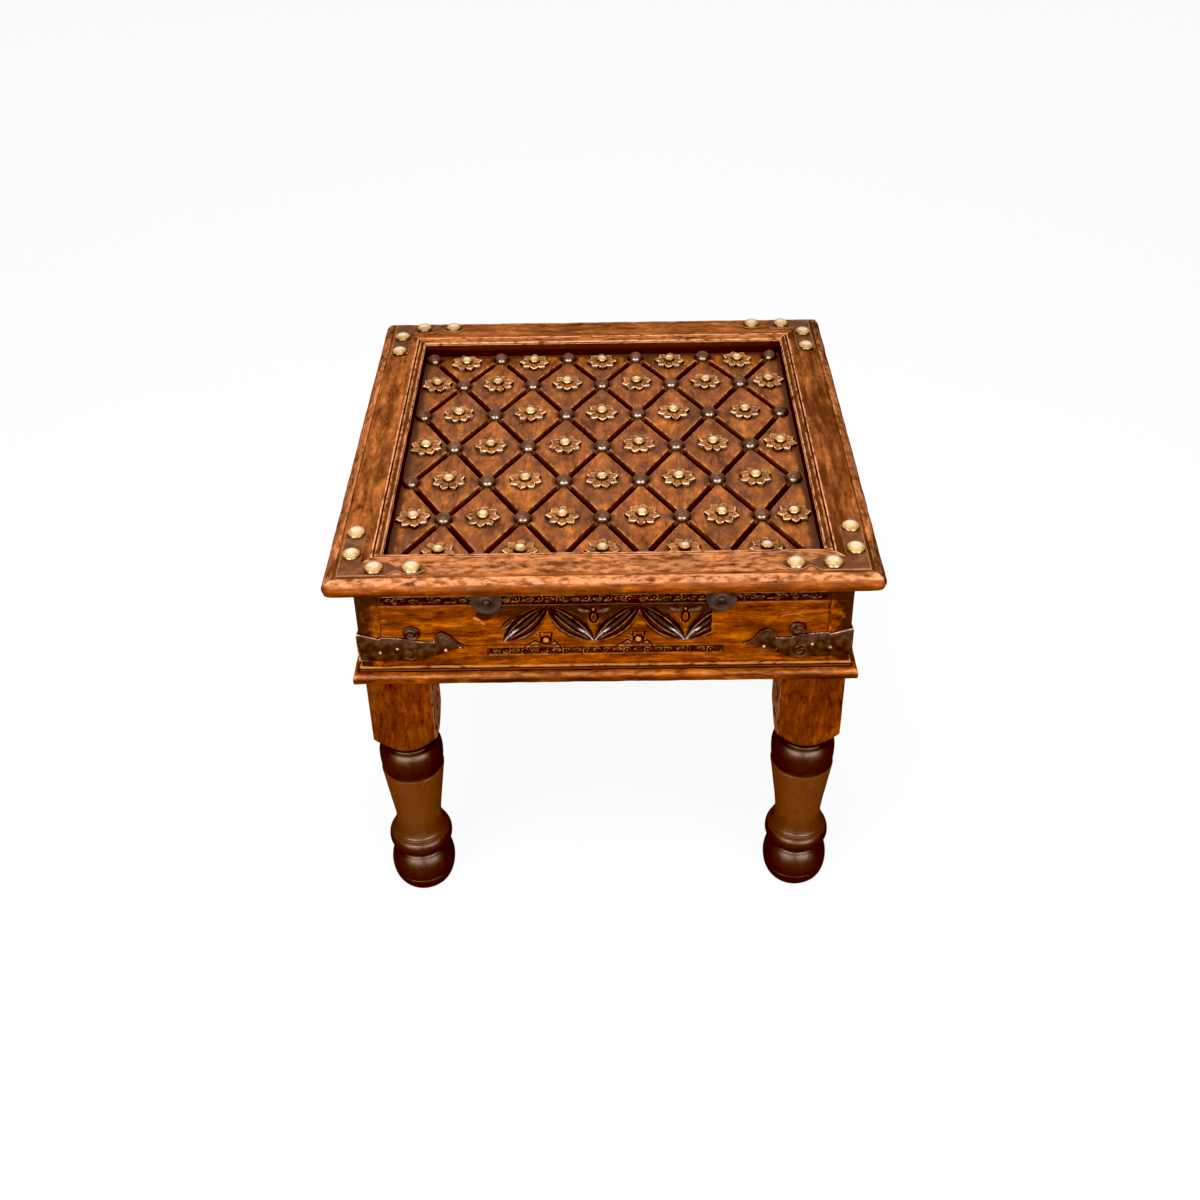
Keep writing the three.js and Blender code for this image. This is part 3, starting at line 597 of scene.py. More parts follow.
def read_places(mesh):
    return read_vectors(mesh, "co")


def read_normals(mesh):
    return read_vectors(mesh, "normal")


def write_places(mesh, places):
    mesh.vertices.foreach_set("co", np.asarray(places).ravel())
    mesh.update()


# Turns a piece made at the front into its place on another side
def turn_mesh(mesh, angle):
    write_places(mesh, turned_places(read_places(mesh), angle))


# Uneven old surface: the mesh is pressed in by soft random dents
def dent(mesh, size, depth, seed):
    places = read_places(mesh)
    pressed = np.clip(ripple(places, size, seed) + 0.25, 0, 1) * depth * (places[:, 2] > 0.001)
    write_places(mesh, places - read_normals(mesh) * pressed[:, None])


def write_numbers(mesh, name, numbers):
    attribute = mesh.attributes.get(name) or mesh.attributes.new(name, "FLOAT", "POINT")
    attribute.data.foreach_set("value", np.asarray(numbers, dtype=np.float32))


# Notes for the finishes: wear with painted highlight where a point stands out and where it is noted, painted
# shade in creases and where it is noted, and the noted stain and painted shade
def note_shape(mesh, edge_radius, hollow_shade=0, stain=0, rub_and_highlight=0):
    places, normals = read_places(mesh), read_normals(mesh)
    ends = np.empty(len(mesh.edges) * 2, dtype=np.int32)
    mesh.edges.foreach_get("vertices", ends)
    first, second = ends.reshape(-1, 2).T
    count = len(places)
    run = places[second] - places[first]
    length = np.maximum(np.linalg.norm(run, axis=1), 1e-5)
    bend = np.einsum("ij,ij->i", normals[second] - normals[first], run) / length ** 2
    links = np.maximum(np.bincount(first, minlength=count) + np.bincount(second, minlength=count), 1)
    shape = (np.bincount(first, bend, count) + np.bincount(second, bend, count)) / links
    around = np.bincount(first, shape[second], count) + np.bincount(second, shape[first], count)
    shape = 0.5 * shape + 0.5 * around / links
    write_numbers(mesh, "worn_and_lit", np.clip(shape * edge_radius + rub_and_highlight, 0, 1))
    write_numbers(mesh, "crease_shade", np.clip(-shape * edge_radius, 0, 1))
    write_numbers(mesh, "hollow_shade", np.broadcast_to(np.clip(hollow_shade, 0, 1), count))
    write_numbers(mesh, "stain", np.broadcast_to(np.clip(stain, -1, 1), count))


def add_piece(name, mesh, material, nodes, sharp_angle=40):
    piece = bpy.data.objects.new(name, mesh)
    bpy.context.scene.collection.objects.link(piece)
    mesh.materials.clear()
    mesh.materials.append(material)
    mesh.shade_smooth()
    mesh.set_sharp_from_angle(angle=math.radians(sharp_angle))
    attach(piece, "root")
    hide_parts(*nodes)
    return piece


# Geometry Nodes: one unit set at every point, each turned and sized a little differently
scatter_inputs = {
    "Points": "NodeSocketGeometry", "Unit": "NodeSocketObject", "Size Spread": number_socket,
    "Tilt": number_socket, "Turn": number_socket, "Most Stain": number_socket, "Seed": "NodeSocketInt",
    "Finish": "NodeSocketMaterial",
}


def add_even_range(tree, value, low, high):
    return add_node(tree, "ShaderNodeMapRange", {"Value": value, "To Min": low, "To Max": high}).outputs[0]


def add_dice(tree, settings, kind="FLOAT"):
    return add_node(tree, "FunctionNodeRandomValue", settings, data_type=kind).outputs


def build_scatter_tree():
    tree = bpy.data.node_groups.new("units at points", "GeometryNodeTree")
    for name, kind in scatter_inputs.items():
        tree.interface.new_socket(name, in_out="INPUT", socket_type=kind)
    tree.interface.new_socket("Geometry", in_out="OUTPUT", socket_type="NodeSocketGeometry")
    entry = tree.nodes.new("NodeGroupInput").outputs
    leave = tree.nodes.new("NodeGroupOutput")
    unit = add_node(tree, "GeometryNodeObjectInfo", {"Object": entry["Unit"]}).outputs["Geometry"]
    smallest = add_math(tree, "SUBTRACT", 1.0, entry["Size Spread"])
    three = add_dice(tree, {"Min": (0, 0, 0), "Max": (1, 1, 1), "Seed": entry["Seed"]}, "FLOAT_VECTOR")[0]
    parts = add_node(tree, "ShaderNodeSeparateXYZ", {0: three}).outputs
    scale = add_even_range(tree, parts[0], smallest, 1.0)
    back = add_math(tree, "MULTIPLY", entry["Tilt"], -1.0)
    tilt_x = add_even_range(tree, parts[1], back, entry["Tilt"])
    tilt_y = add_even_range(tree, parts[2], back, entry["Tilt"])
    spin = add_dice(tree, {2: 0.0, 3: 1.0, "Seed": entry["Seed"]})[1]
    index = add_node(tree, "GeometryNodeInputIndex").outputs[0]
    tree.links.new(index, spin.node.inputs["ID"])
    angle = add_math(tree, "MULTIPLY", spin, entry["Turn"])
    euler = add_node(tree, "ShaderNodeCombineXYZ", {0: tilt_x, 1: tilt_y, 2: angle}).outputs[0]
    rotation = add_node(tree, "FunctionNodeEulerToRotation", {0: euler}).outputs[0]
    placed = add_node(tree, "GeometryNodeInstanceOnPoints", {
        "Points": entry["Points"], "Instance": unit, "Rotation": rotation, "Scale": scale,
    }).outputs[0]
    other_seed = add_math(tree, "ADD", entry["Seed"], 11.0)
    chance = add_dice(tree, {2: 0.0, 3: 1.0, "Seed": other_seed})[1]
    shade = {"Value": chance, 1: 0.45, 2: 1.0, 3: 0.0, 4: entry["Most Stain"]}
    stain = add_node(tree, "ShaderNodeMapRange", shade).outputs[0]
    note = {"Geometry": placed, "Name": "stain", "Value": stain}
    noted = add_node(tree, "GeometryNodeStoreNamedAttribute", note, data_type="FLOAT", domain="INSTANCE")
    real = add_node(tree, "GeometryNodeRealizeInstances", {0: noted.outputs[0]}).outputs[0]
    finish = {"Geometry": real, "Material": entry["Finish"]}
    finished = add_node(tree, "GeometryNodeSetMaterial", finish).outputs[0]
    tree.links.new(finished, leave.inputs["Geometry"])
    return tree


scatter_tree = build_scatter_tree()


def scatter(name, places, unit_mesh, material, size_spread, tilt, seed, most_stain=0.0):
    points = bpy.data.objects.new(name + "_points", mesh_of(name + "_points", places, []))
    unit = bpy.data.objects.new(name + "_unit", unit_mesh)
    bpy.context.scene.collection.objects.link(points)
    bpy.context.scene.collection.objects.link(unit)
    modifier = points.modifiers.new("units", "NODES")
    modifier.node_group = scatter_tree
    settings = {
        "Unit": unit, "Size Spread": size_spread, "Tilt": tilt, "Turn": most_turn, "Most Stain": most_stain,
        "Seed": seed, "Finish": material,
    }
    for socket in scatter_tree.interface.items_tree:
        if socket.name in settings:
            modifier[socket.identifier] = settings[socket.name]
    evaluated = points.evaluated_get(bpy.context.evaluated_depsgraph_get())
    mesh = bpy.data.meshes.new_from_object(evaluated)
    mesh.name = name
    bpy.data.objects.remove(points)
    bpy.data.objects.remove(unit)
    return mesh


# A turned dome with its foot below zero; painted shade lies round its foot, and the crown gets a painted
# highlight
def dome_unit(name, radius, height, foot, around, steps, lip=0.0, ring=0.32, crown_highlight=0.0):
    profile = [(radius * 0.6, -foot), (radius - lip, -foot), (radius, -foot + lip)]
    for step in range(steps):
        angle = quarter_turn * step / steps
        profile.append((radius * math.cos(angle), height * math.sin(angle)))
    profile.append((radius * 0.06, height))
    mesh = loft(name, [ring_at(out, level, round_angles(around)) for out, level in profile])
    face_outwards(mesh)
    rise = np.clip(read_places(mesh)[:, 2] / height, 0, 1)
    note_shape(mesh, 0.0003, rub_and_highlight=crown_highlight * smooth_step(0.66, 1.0, rise))
    write_numbers(mesh, "crease_shade", 0.9 * hump(rise, 0, ring))
    return mesh


# Top rails, mitred, with a round nose, a scribed line and a moulded inner edge
rail_corner_radius = 0.007
mitre_gap = 0.00015
nose_steps = 22
line_inset, line_width, line_depth = 0.0097, 0.0014, 0.0003
line_end = line_inset + line_width
quirk_inset, quirk_width, quirk_depth = 0.0397, 0.0022, 0.0015
quirk_end = quirk_inset + quirk_width
flat_steps = 9
band_drop, lip_drop = 0.0038, 0.0008
band_shape = ((0.12, 0.02), (0.3, 0.06), (0.5, 0.2), (0.68, 0.42), (0.82, 0.66), (0.9, 0.88), (0.93, 1.0))


# The section runs from the inner wall's foot under the rail, round the nose, over the top and down again
def rail_section():
    nose_radius = (top_level - rail_foot) / 2
    section = [(rail_width, rail_foot), (rail_width * 0.7, rail_foot), (rail_width * 0.4, rail_foot)]
    for step in range(nose_steps + 1):
        angle = half_turn * step / nose_steps - quarter_turn
        section.append((nose_radius * (1 - math.cos(angle)), rail_foot + nose_radius * (1 + math.sin(angle))))
    for share, sink in ((0.0, 0), (0.35, 1), (0.65, 1), (1.0, 0)):
        section.append((line_inset + line_width * share, top_level - line_depth * sink))
    for step in range(1, flat_steps + 1):
        section.append((line_end + (quirk_inset - 0.0011 - line_end) * step / flat_steps, top_level))
    section.append((quirk_inset, top_level))
    for share, sink in ((0.3, 0.75), (0.5, 1), (0.7, 0.75), (1.0, 0.1)):
        section.append((quirk_inset + quirk_width * share, top_level - quirk_depth * sink))
    band_level = top_level - 0.0001
    for share, drop in band_shape:
        section.append((quirk_end + (rail_width - quirk_end) * share, band_level - band_drop * drop))
    section.append((rail_width - 0.0004, band_level - band_drop))
    section.append((rail_width, top_level - band_drop - lip_drop * 0.6))
    section.append((rail_width, top_level - band_drop - lip_drop * 1.4))
    section.append((rail_width, rail_foot + (top_level - rail_foot) * 0.35))
    return section


# Dirt of the whole rail, how much darker its inner band is, and how much painted sheen brightens its flat top
# and its nose
rail_dirt_and_sheen = {
    "front": (0.0, 0.6, 0.24), "right": (0.52, 0.55, 0.0), "back": (0.02, 0.15, 0.0), "left": (0.08, 0.6, 0.0),
}
lip_level = top_level - 0.0045
slope_start = 0.0421
nose_end = 0.009
straight_share = 0.9


# For each point of a rail's section: painted shade on the inner wall and under the nose, stain, and wear with
# painted highlight on the nose top, the edge lines and the front rail's flat top
def rail_notes(section, dirt, band_darkening, rubbing_and_highlight):
    inset, level = np.array(section).T
    # The inner wall down into the recess is painted with shade, darker low down
    wall = (inset > rail_width - 1e-5) & (level < lip_level)
    hollow_shade = np.where(wall, np.where(level < top_level - 0.01, 0.85, 0.5), 0)
    on_top = level > lip_level
    band = smooth_step(slope_start, slope_start + 0.0008, inset)
    band *= 1 - smooth_step(rail_width - 0.003, rail_width - 0.001, inset)
    # Painted shade under the nose: tinted deeper, stained darker and never worn
    under_nose_shade = (inset < nose_end) * (level > rail_foot + 0.0005)
    under_nose_shade = under_nose_shade * (1 - smooth_step(top_level - 0.0052, top_level - 0.0036, level))
    # Painted sheen on the front rail's flat top, and a painted highlight on the nose top
    flat = (inset > 0.012) & (inset < 0.0385) & on_top
    lit_nose_top = (inset < nose_end + 0.0002) * smooth_step(top_level - 0.0046, top_level - 0.003, level)
    open_stain_and_shade = dirt + band_darkening * band * on_top + 0.5 * under_nose_shade - (0.15 + rubbing_and_highlight) * lit_nose_top
    # The edge lines along the quirk and the lip are rubbed lighter, partly a painted highlight
    edge = (np.abs(inset - quirk_inset) < 0.0006) | ((inset > rail_width - 0.0012) & ~wall)
    rub_and_highlight = 0.55 * edge * on_top + rubbing_and_highlight * flat + (0.1 + 0.5 * rubbing_and_highlight) * lit_nose_top - under_nose_shade
    return hollow_shade, np.where(wall, 1, open_stain_and_shade), rub_and_highlight, under_nose_shade


# The front rail's inner lip is worn lower between its ends
def lip_wear(inset, level, along):
    amount = smooth_step(slope_start, rail_width, inset) * (level > top_level - 0.006)
    return 0.0014 * amount * (1 - smooth_step(recess_half - 0.03, recess_half - 0.006, abs(along)))


# Place along a rail with the table's corner rounded in plan: share runs from -1 to 1, mitre to mitre
def rail_place(inset, share):
    common = top_half - rail_width - 0.002
    sign = -1 if share < 0 else 1
    share = abs(share)
    if share <= straight_share:
        return sign * common * share / straight_share, inset
    bend_radius = max(rail_corner_radius - inset, 0)
    bend_start = top_half - max(rail_corner_radius, inset)
    length = bend_start - common + bend_radius * math.pi / 4
    beyond = share - straight_share
    reach = common + length * beyond / (1 - straight_share)
    if reach <= bend_start:
        return sign * (reach - mitre_gap * beyond / (1 - straight_share)), inset
    angle = (reach - bend_start) / bend_radius
    x = top_half - rail_corner_radius + bend_radius * math.sin(angle) - mitre_gap
    return sign * x, rail_corner_radius - bend_radius * math.cos(angle)


def rail_rings(section, shares, side):
    rings = []
    for share in shares:
        ring = []
        for inset, level in section:
            x, sunk_in = rail_place(inset, share)
            wear = lip_wear(inset, level, x) if side == "front" else 0
            ring.append((x, sunk_in - top_half, level - wear))
        rings.append(ring)
    return rings


# Rings lie closer together where a rail bends at its corners
def rail_shares():
    straight = np.linspace(-straight_share, straight_share, 150)
    bend = np.linspace(straight_share, 1, 12)[1:]
    return np.concatenate((np.linspace(-1, -straight_share, 12)[:-1], straight, bend))


def build_rails():
    shares = rail_shares()
    section = rail_section()
    for count, (side, angle) in enumerate(sides.items()):
        mesh = loft(f"{side}_rail", rail_rings(section, shares, side))
        turn_mesh(mesh, angle)
        face_outwards(mesh)
        dent(mesh, 0.022, 0.0005, count + 1)
        dent(mesh, 0.006, 0.00018, count + 11)
        places = read_places(mesh)
        notes = rail_notes(section, *rail_dirt_and_sheen[side])
        hollow_shade, stain, rub_and_highlight, under_nose_shade = (np.tile(note, len(shares)) for note in notes)
        corner = 0.5 * smooth_step(top_half - 0.07, top_half - 0.03, np.abs(places[:, :2]).min(axis=1))
        corner *= places[:, 2] > top_level - 0.004
        note_shape(mesh, 0.0016, hollow_shade=hollow_shade, stain=stain + corner, rub_and_highlight=rub_and_highlight)
        write_numbers(mesh, "under_nose_shade", under_nose_shade)
        add_piece(f"{side}_rail", mesh, rail_wood[board_grain[side]], [f"{side}_top_rail"])


# Carved panel: diamond tiles between grooves that run from boss to boss
lattice_columns = 11
lattice_rows = 7
lattice_shift = (-0.001, 0.0037)
lattice_half = (recess_half - 0.0099, recess_half - 0.0079)
lattice_pitch = (2 * lattice_half[0] / (lattice_columns - 1), 2 * lattice_half[1] / (lattice_rows - 1))
trim_gap = 0.0008
boss_radius = 0.0078
boss_height = 0.0074
groove_half_width = 0.0036
groove_depth = 0.0044
groove_end = 0.0112
seat_radius = 0.0094
seat_depth = 0.0009
flower_radius = 0.017
flower_end_gap = 0.0018


def lattice_place(column, row):
    x = lattice_shift[0] + (column - (lattice_columns - 1) / 2) * lattice_pitch[0]
    y = lattice_shift[1] + (row - (lattice_rows - 1) / 2) * lattice_pitch[1]
    return np.array((x, y))


def in_lattice(column, row):
    return 0 <= column < lattice_columns and 0 <= row < lattice_rows


# A piece of trim sits on its lattice point, or as near to it as the recess leaves room
def trim_place(column, row, radius, end_gap=0.0):
    limit = recess_half - radius - trim_gap
    x, y = lattice_place(column, row)
    return np.array((np.clip(x, -limit, limit), np.clip(y, end_gap - limit, limit - end_gap)))


def tile_corner(column, row):
    return trim_place(column, row, boss_radius) if in_lattice(column, row) else lattice_place(column, row)


def bosses_and_flowers():
    bosses, flowers = [], []
    for row in range(lattice_rows):
        for column in range(lattice_columns):
            if (column + row) % 2 == 0:
                bosses.append((*trim_place(column, row, boss_radius), panel_level - seat_depth))
            else:
                flowers.append((*trim_place(column, row, flower_radius, flower_end_gap), panel_level))
    return bosses, flowers


# How deep each point of a tile lies; the two lower grooves have crisp walls, the others softer ones
def tile_depth(places, column, row):
    ends = [(column, row - 1), (column + 1, row), (column, row + 1), (column - 1, row)]
    crisp, soft = (0.5, 1.0), (0.28, 1.15)
    depth = np.zeros(len(places))
    for first, second, slope in zip(ends, ends[1:] + ends[:1], (crisp, soft, soft, crisp)):
        if not (in_lattice(*first) and in_lattice(*second)):
            continue
        start, end = tile_corner(*first), tile_corner(*second)
        run = np.linalg.norm(end - start)
        along = (places - start) @ ((end - start) / run)
        nearest = np.clip(along, groove_end, run - groove_end)
        away = np.linalg.norm(places - start - np.outer(nearest, (end - start) / run), axis=1)
        depth = np.maximum(depth, groove_depth * (1 - smooth_step(*slope, away / groove_half_width)))
    for end in ends:
        if in_lattice(*end):
            away = np.linalg.norm(places - tile_corner(*end), axis=1)
            outside = smooth_step(seat_radius - 0.0006, seat_radius + 0.0004, away)
            depth = np.maximum(depth, seat_depth * (1 - outside))
    return depth


# Distances from a groove's middle at which a tile has points, in millimetres
tile_steps = (0, 0.9, 1.5, 2.1, 2.6, 3.1, 3.6, 4.2, 5.3, 6.9, 8.5, 9.6, 11, 12.8, 14.8, 17, 19.6, 22.6, 26.6)


def tile_places(column, row, shares):
    foot, head = tile_corner(column, row - 1), tile_corner(column, row + 1)
    right, left = tile_corner(column + 1, row) - foot, tile_corner(column - 1, row) - foot
    across, up = (part.reshape(-1, 1) for part in np.meshgrid(shares, shares))
    places = foot + across * right + up * left + across * up * (head - foot - right - left)
    return np.column_stack((places, panel_level - tile_depth(places, column, row)))


def grid_faces(rows, columns, first=0):
    starts = (first + line * columns + step for line in range(rows - 1) for step in range(columns - 1))
    return [(corner, corner + 1, corner + columns + 1, corner + columns) for corner in starts]


def carved_panel():
    near = np.array(tile_steps) * 0.001
    tile_width = 2 * lattice_pitch[0] * lattice_pitch[1] / math.hypot(*lattice_pitch)
    shares = np.concatenate((near / tile_width, (0.5,), 1 - near[::-1] / tile_width))
    count = len(shares)
    tiles, faces = [], []
    for row in range(-1, lattice_rows + 1):
        for column in range(-1, lattice_columns + 1):
            if (column + row) % 2 == 1:
                faces += grid_faces(count, count, first=len(tiles) * count * count)
                tiles.append(tile_places(column, row, shares))
    return mesh_of("panel_board", np.concatenate(tiles), faces)


def trim_to_board(work):
    bmesh.ops.remove_doubles(work, verts=work.verts, dist=1e-6)
    for axis in ((1, 0, 0), (-1, 0, 0), (0, 1, 0), (0, -1, 0)):
        geometry = work.verts[:] + work.edges[:] + work.faces[:]
        edge = Vector(axis) * panel_half
        bmesh.ops.bisect_plane(work, geom=geometry, plane_co=edge, plane_no=axis, clear_outer=True, dist=1e-7)
    close_below(work, 2, panel_foot)


# Turns an open carved surface into a board: its rim drops to a level of the given axis
def close_below(work, axis, level):
    rim = [edge for edge in work.edges if edge.is_boundary]
    grown = bmesh.ops.extrude_edge_only(work, edges=rim)["geom"]
    lower = [item for item in grown if isinstance(item, bmesh.types.BMVert)]
    for vertex in lower:
        vertex.co[axis] = level
    bmesh.ops.remove_doubles(work, verts=lower, dist=1e-7)
    rim = [edge for edge in work.edges if edge.is_boundary]
    bmesh.ops.contextual_create(work, geom=rim)
    bmesh.ops.recalc_face_normals(work, faces=work.faces)


# Round the trim the panel is stained with dirt, and close under the trim painted with shade; each with its
# amount and the radii between which it fades
boss_dirt_and_shade = ((0.75, 0.009, 0.017), (0.75, 0.0082, 0.0098))
flower_dirt_and_shade = ((0.85, 0.0135, 0.021), (0.4, 0.011, 0.0165))
flower_dirt_and_shade_shift = 0.001


# Painted shade in the grooves and seats by their depth and close under the trim, a dirt stain round the trim,
# and darker towards the recess edge
def panel_notes(places):
    on_top = places[:, 2] > panel_foot + 0.001
    hollow_shade = np.where(on_top, (panel_level - places[:, 2]) / groove_depth, 0)
    stain = np.zeros(len(places))
    bosses, flowers = bosses_and_flowers()
    for trim, shift, (stained, close_shade) in ((bosses, 0, boss_dirt_and_shade), (flowers, flower_dirt_and_shade_shift, flower_dirt_and_shade)):
        for x, y, _ in trim:
            away = np.hypot(places[:, 0] - x, places[:, 1] - y - shift)
            stain = np.maximum(stain, stained[0] * (1 - smooth_step(stained[1], stained[2], away)))
            hollow_shade = np.maximum(hollow_shade, close_shade[0] * (1 - smooth_step(close_shade[1], close_shade[2], away)) * on_top)
    edge = smooth_step(recess_half - 0.012, recess_half, np.abs(places[:, :2]).max(axis=1))
    return hollow_shade, np.maximum(stain, edge), on_top


def build_panel_board():
    mesh = carved_panel()
    change_mesh(mesh, trim_to_board)
    places = read_places(mesh)
    hollow_shade, stain, on_top = panel_notes(places)
    waves = 0.0002 * ripple(places, 0.02, 3) + 0.00007 * ripple(places, 0.005, 4)
    flat_top = on_top & (places[:, 2] > panel_level - 0.0001)
    places[:, 2] += np.where(flat_top, np.minimum(waves, 0.00005), 0)
    write_places(mesh, places)
    note_shape(mesh, 0.0011, hollow_shade=hollow_shade, stain=stain)
    add_piece("panel_board", mesh, panel_wood, ["lattice_panel"], sharp_angle=60)


# Flower of eight diamond petals on an upright wall, each with a bevelled rim and a middle rib
flower_petals = 8
petal_shares = (0, 0.16, 0.36, 0.57, 0.8, 0.88, 0.95, 1)
petal_reaches = (1, 0.945, 0.885, 0.83, 0.78, 0.73, 0.65, 0.6)
flower_wall = 0.0028
flower_rim = 0.0040
flower_face = 0.0032
face_steps = 11
nail_share = 0.33


def flower_unit():
    angles = round_angles(flower_petals * 16)
    away = 1 - 2 * np.abs(((angles * flower_petals / full_turn) % 1) - 0.5)
    edge = flower_radius * np.interp(away, petal_shares, petal_reaches)
    # The upright wall is painted with shade, darkest at its foot, and the rim bevels get a painted highlight
    # except at the petal tips
    wall = ((1, -0.0004, 1), (1, flower_wall, 0.85), (0.985, flower_wall + 0.0002, 0), (0.935, flower_rim, 0))
    rings = [ring_at(edge * share, height, angles) for share, height, _ in wall]
    hollow_shade = [np.full(len(angles), dark) for _, _, dark in wall]
    rub_and_highlight = np.zeros((len(wall) + face_steps, len(angles)))
    rub_and_highlight[2:4] = 0.22 * smooth_step(0, 0.3, away)
    for step in range(face_steps):
        share = 0.91 * (1 - step / (face_steps - 0.6))
        out = edge * share / flower_radius
        rib = hump(away * np.clip(1.25 * out, 0.25, 1), 0, 0.15) * smooth_step(nail_share, 0.5, out)
        valley = hump(1 - away, 0, 0.17) * smooth_step(nail_share - 0.06, 0.5, out)
        height = flower_face + 0.0006 * smooth_step(0.78, 0.91, share) + 0.0005 * rib - 0.0016 * valley
        height += 0.0009 * (1 - smooth_step(nail_share, 0.55, out))
        rings.append(ring_at(edge * share, height, angles))
        # The valleys between petals and the ring round the nail are painted with shade
        hollow_shade.append(np.maximum(0.6 * valley, 0.9 * (1 - smooth_step(nail_share, nail_share + 0.09, out))))
    mesh = loft("flower", rings)
    face_outwards(mesh)
    note_shape(mesh, 0.0006, hollow_shade=np.concatenate(hollow_shade), rub_and_highlight=rub_and_highlight.ravel())
    return mesh


boss_swell = 1.03
nail_seat = 0.0052
nail_radius = 0.0057
nail_height = 0.0038
nail_foot = 0.0016


def build_panel_trim():
    bosses, flowers = bosses_and_flowers()
    tall = boss_height + seat_depth - 0.0001
    boss = dome_unit("boss", boss_radius * boss_swell, tall, 0.0004, 32, 11, lip=0.0003, ring=0.42)
    mesh = scatter("panel_bosses", bosses, boss, boss_wood, size_spread=0.04, tilt=0.05, seed=5)
    add_piece("panel_bosses", mesh, boss_wood, ["lattice_panel"], sharp_angle=50)
    mesh = scatter(
        "panel_flowers", flowers, flower_unit(), flower_wood, size_spread=0.06, tilt=0.03, seed=8,
        most_stain=1.15,
    )
    add_piece("panel_flowers", mesh, flower_wood, ["lattice_panel"], sharp_angle=55)
    nail = dome_unit("nail", nail_radius, nail_height, nail_foot, 28, 9, lip=0.0004, ring=0.38, crown_highlight=0.8)
    heads = [(x, y, z + nail_seat) for x, y, z in flowers]
    mesh = scatter("flower_nails", heads, nail, brass, size_spread=0.06, tilt=0.12, seed=13)
    add_piece("flower_nails", mesh, brass, ["lattice_panel"], sharp_angle=50)


# Across a carved leaf: a deep middle channel, a ridge on either side, and a trench round it all
leaf_outs = (0, 0.12, 0.34, 0.43, 0.49, 0.57, 0.7, 0.87, 1)
leaf_depths = (1, 0.96, 0.72, 0.15, 0.08, 0.55, 0.86, 0.6, 0)
leaf_ridge = 0.47


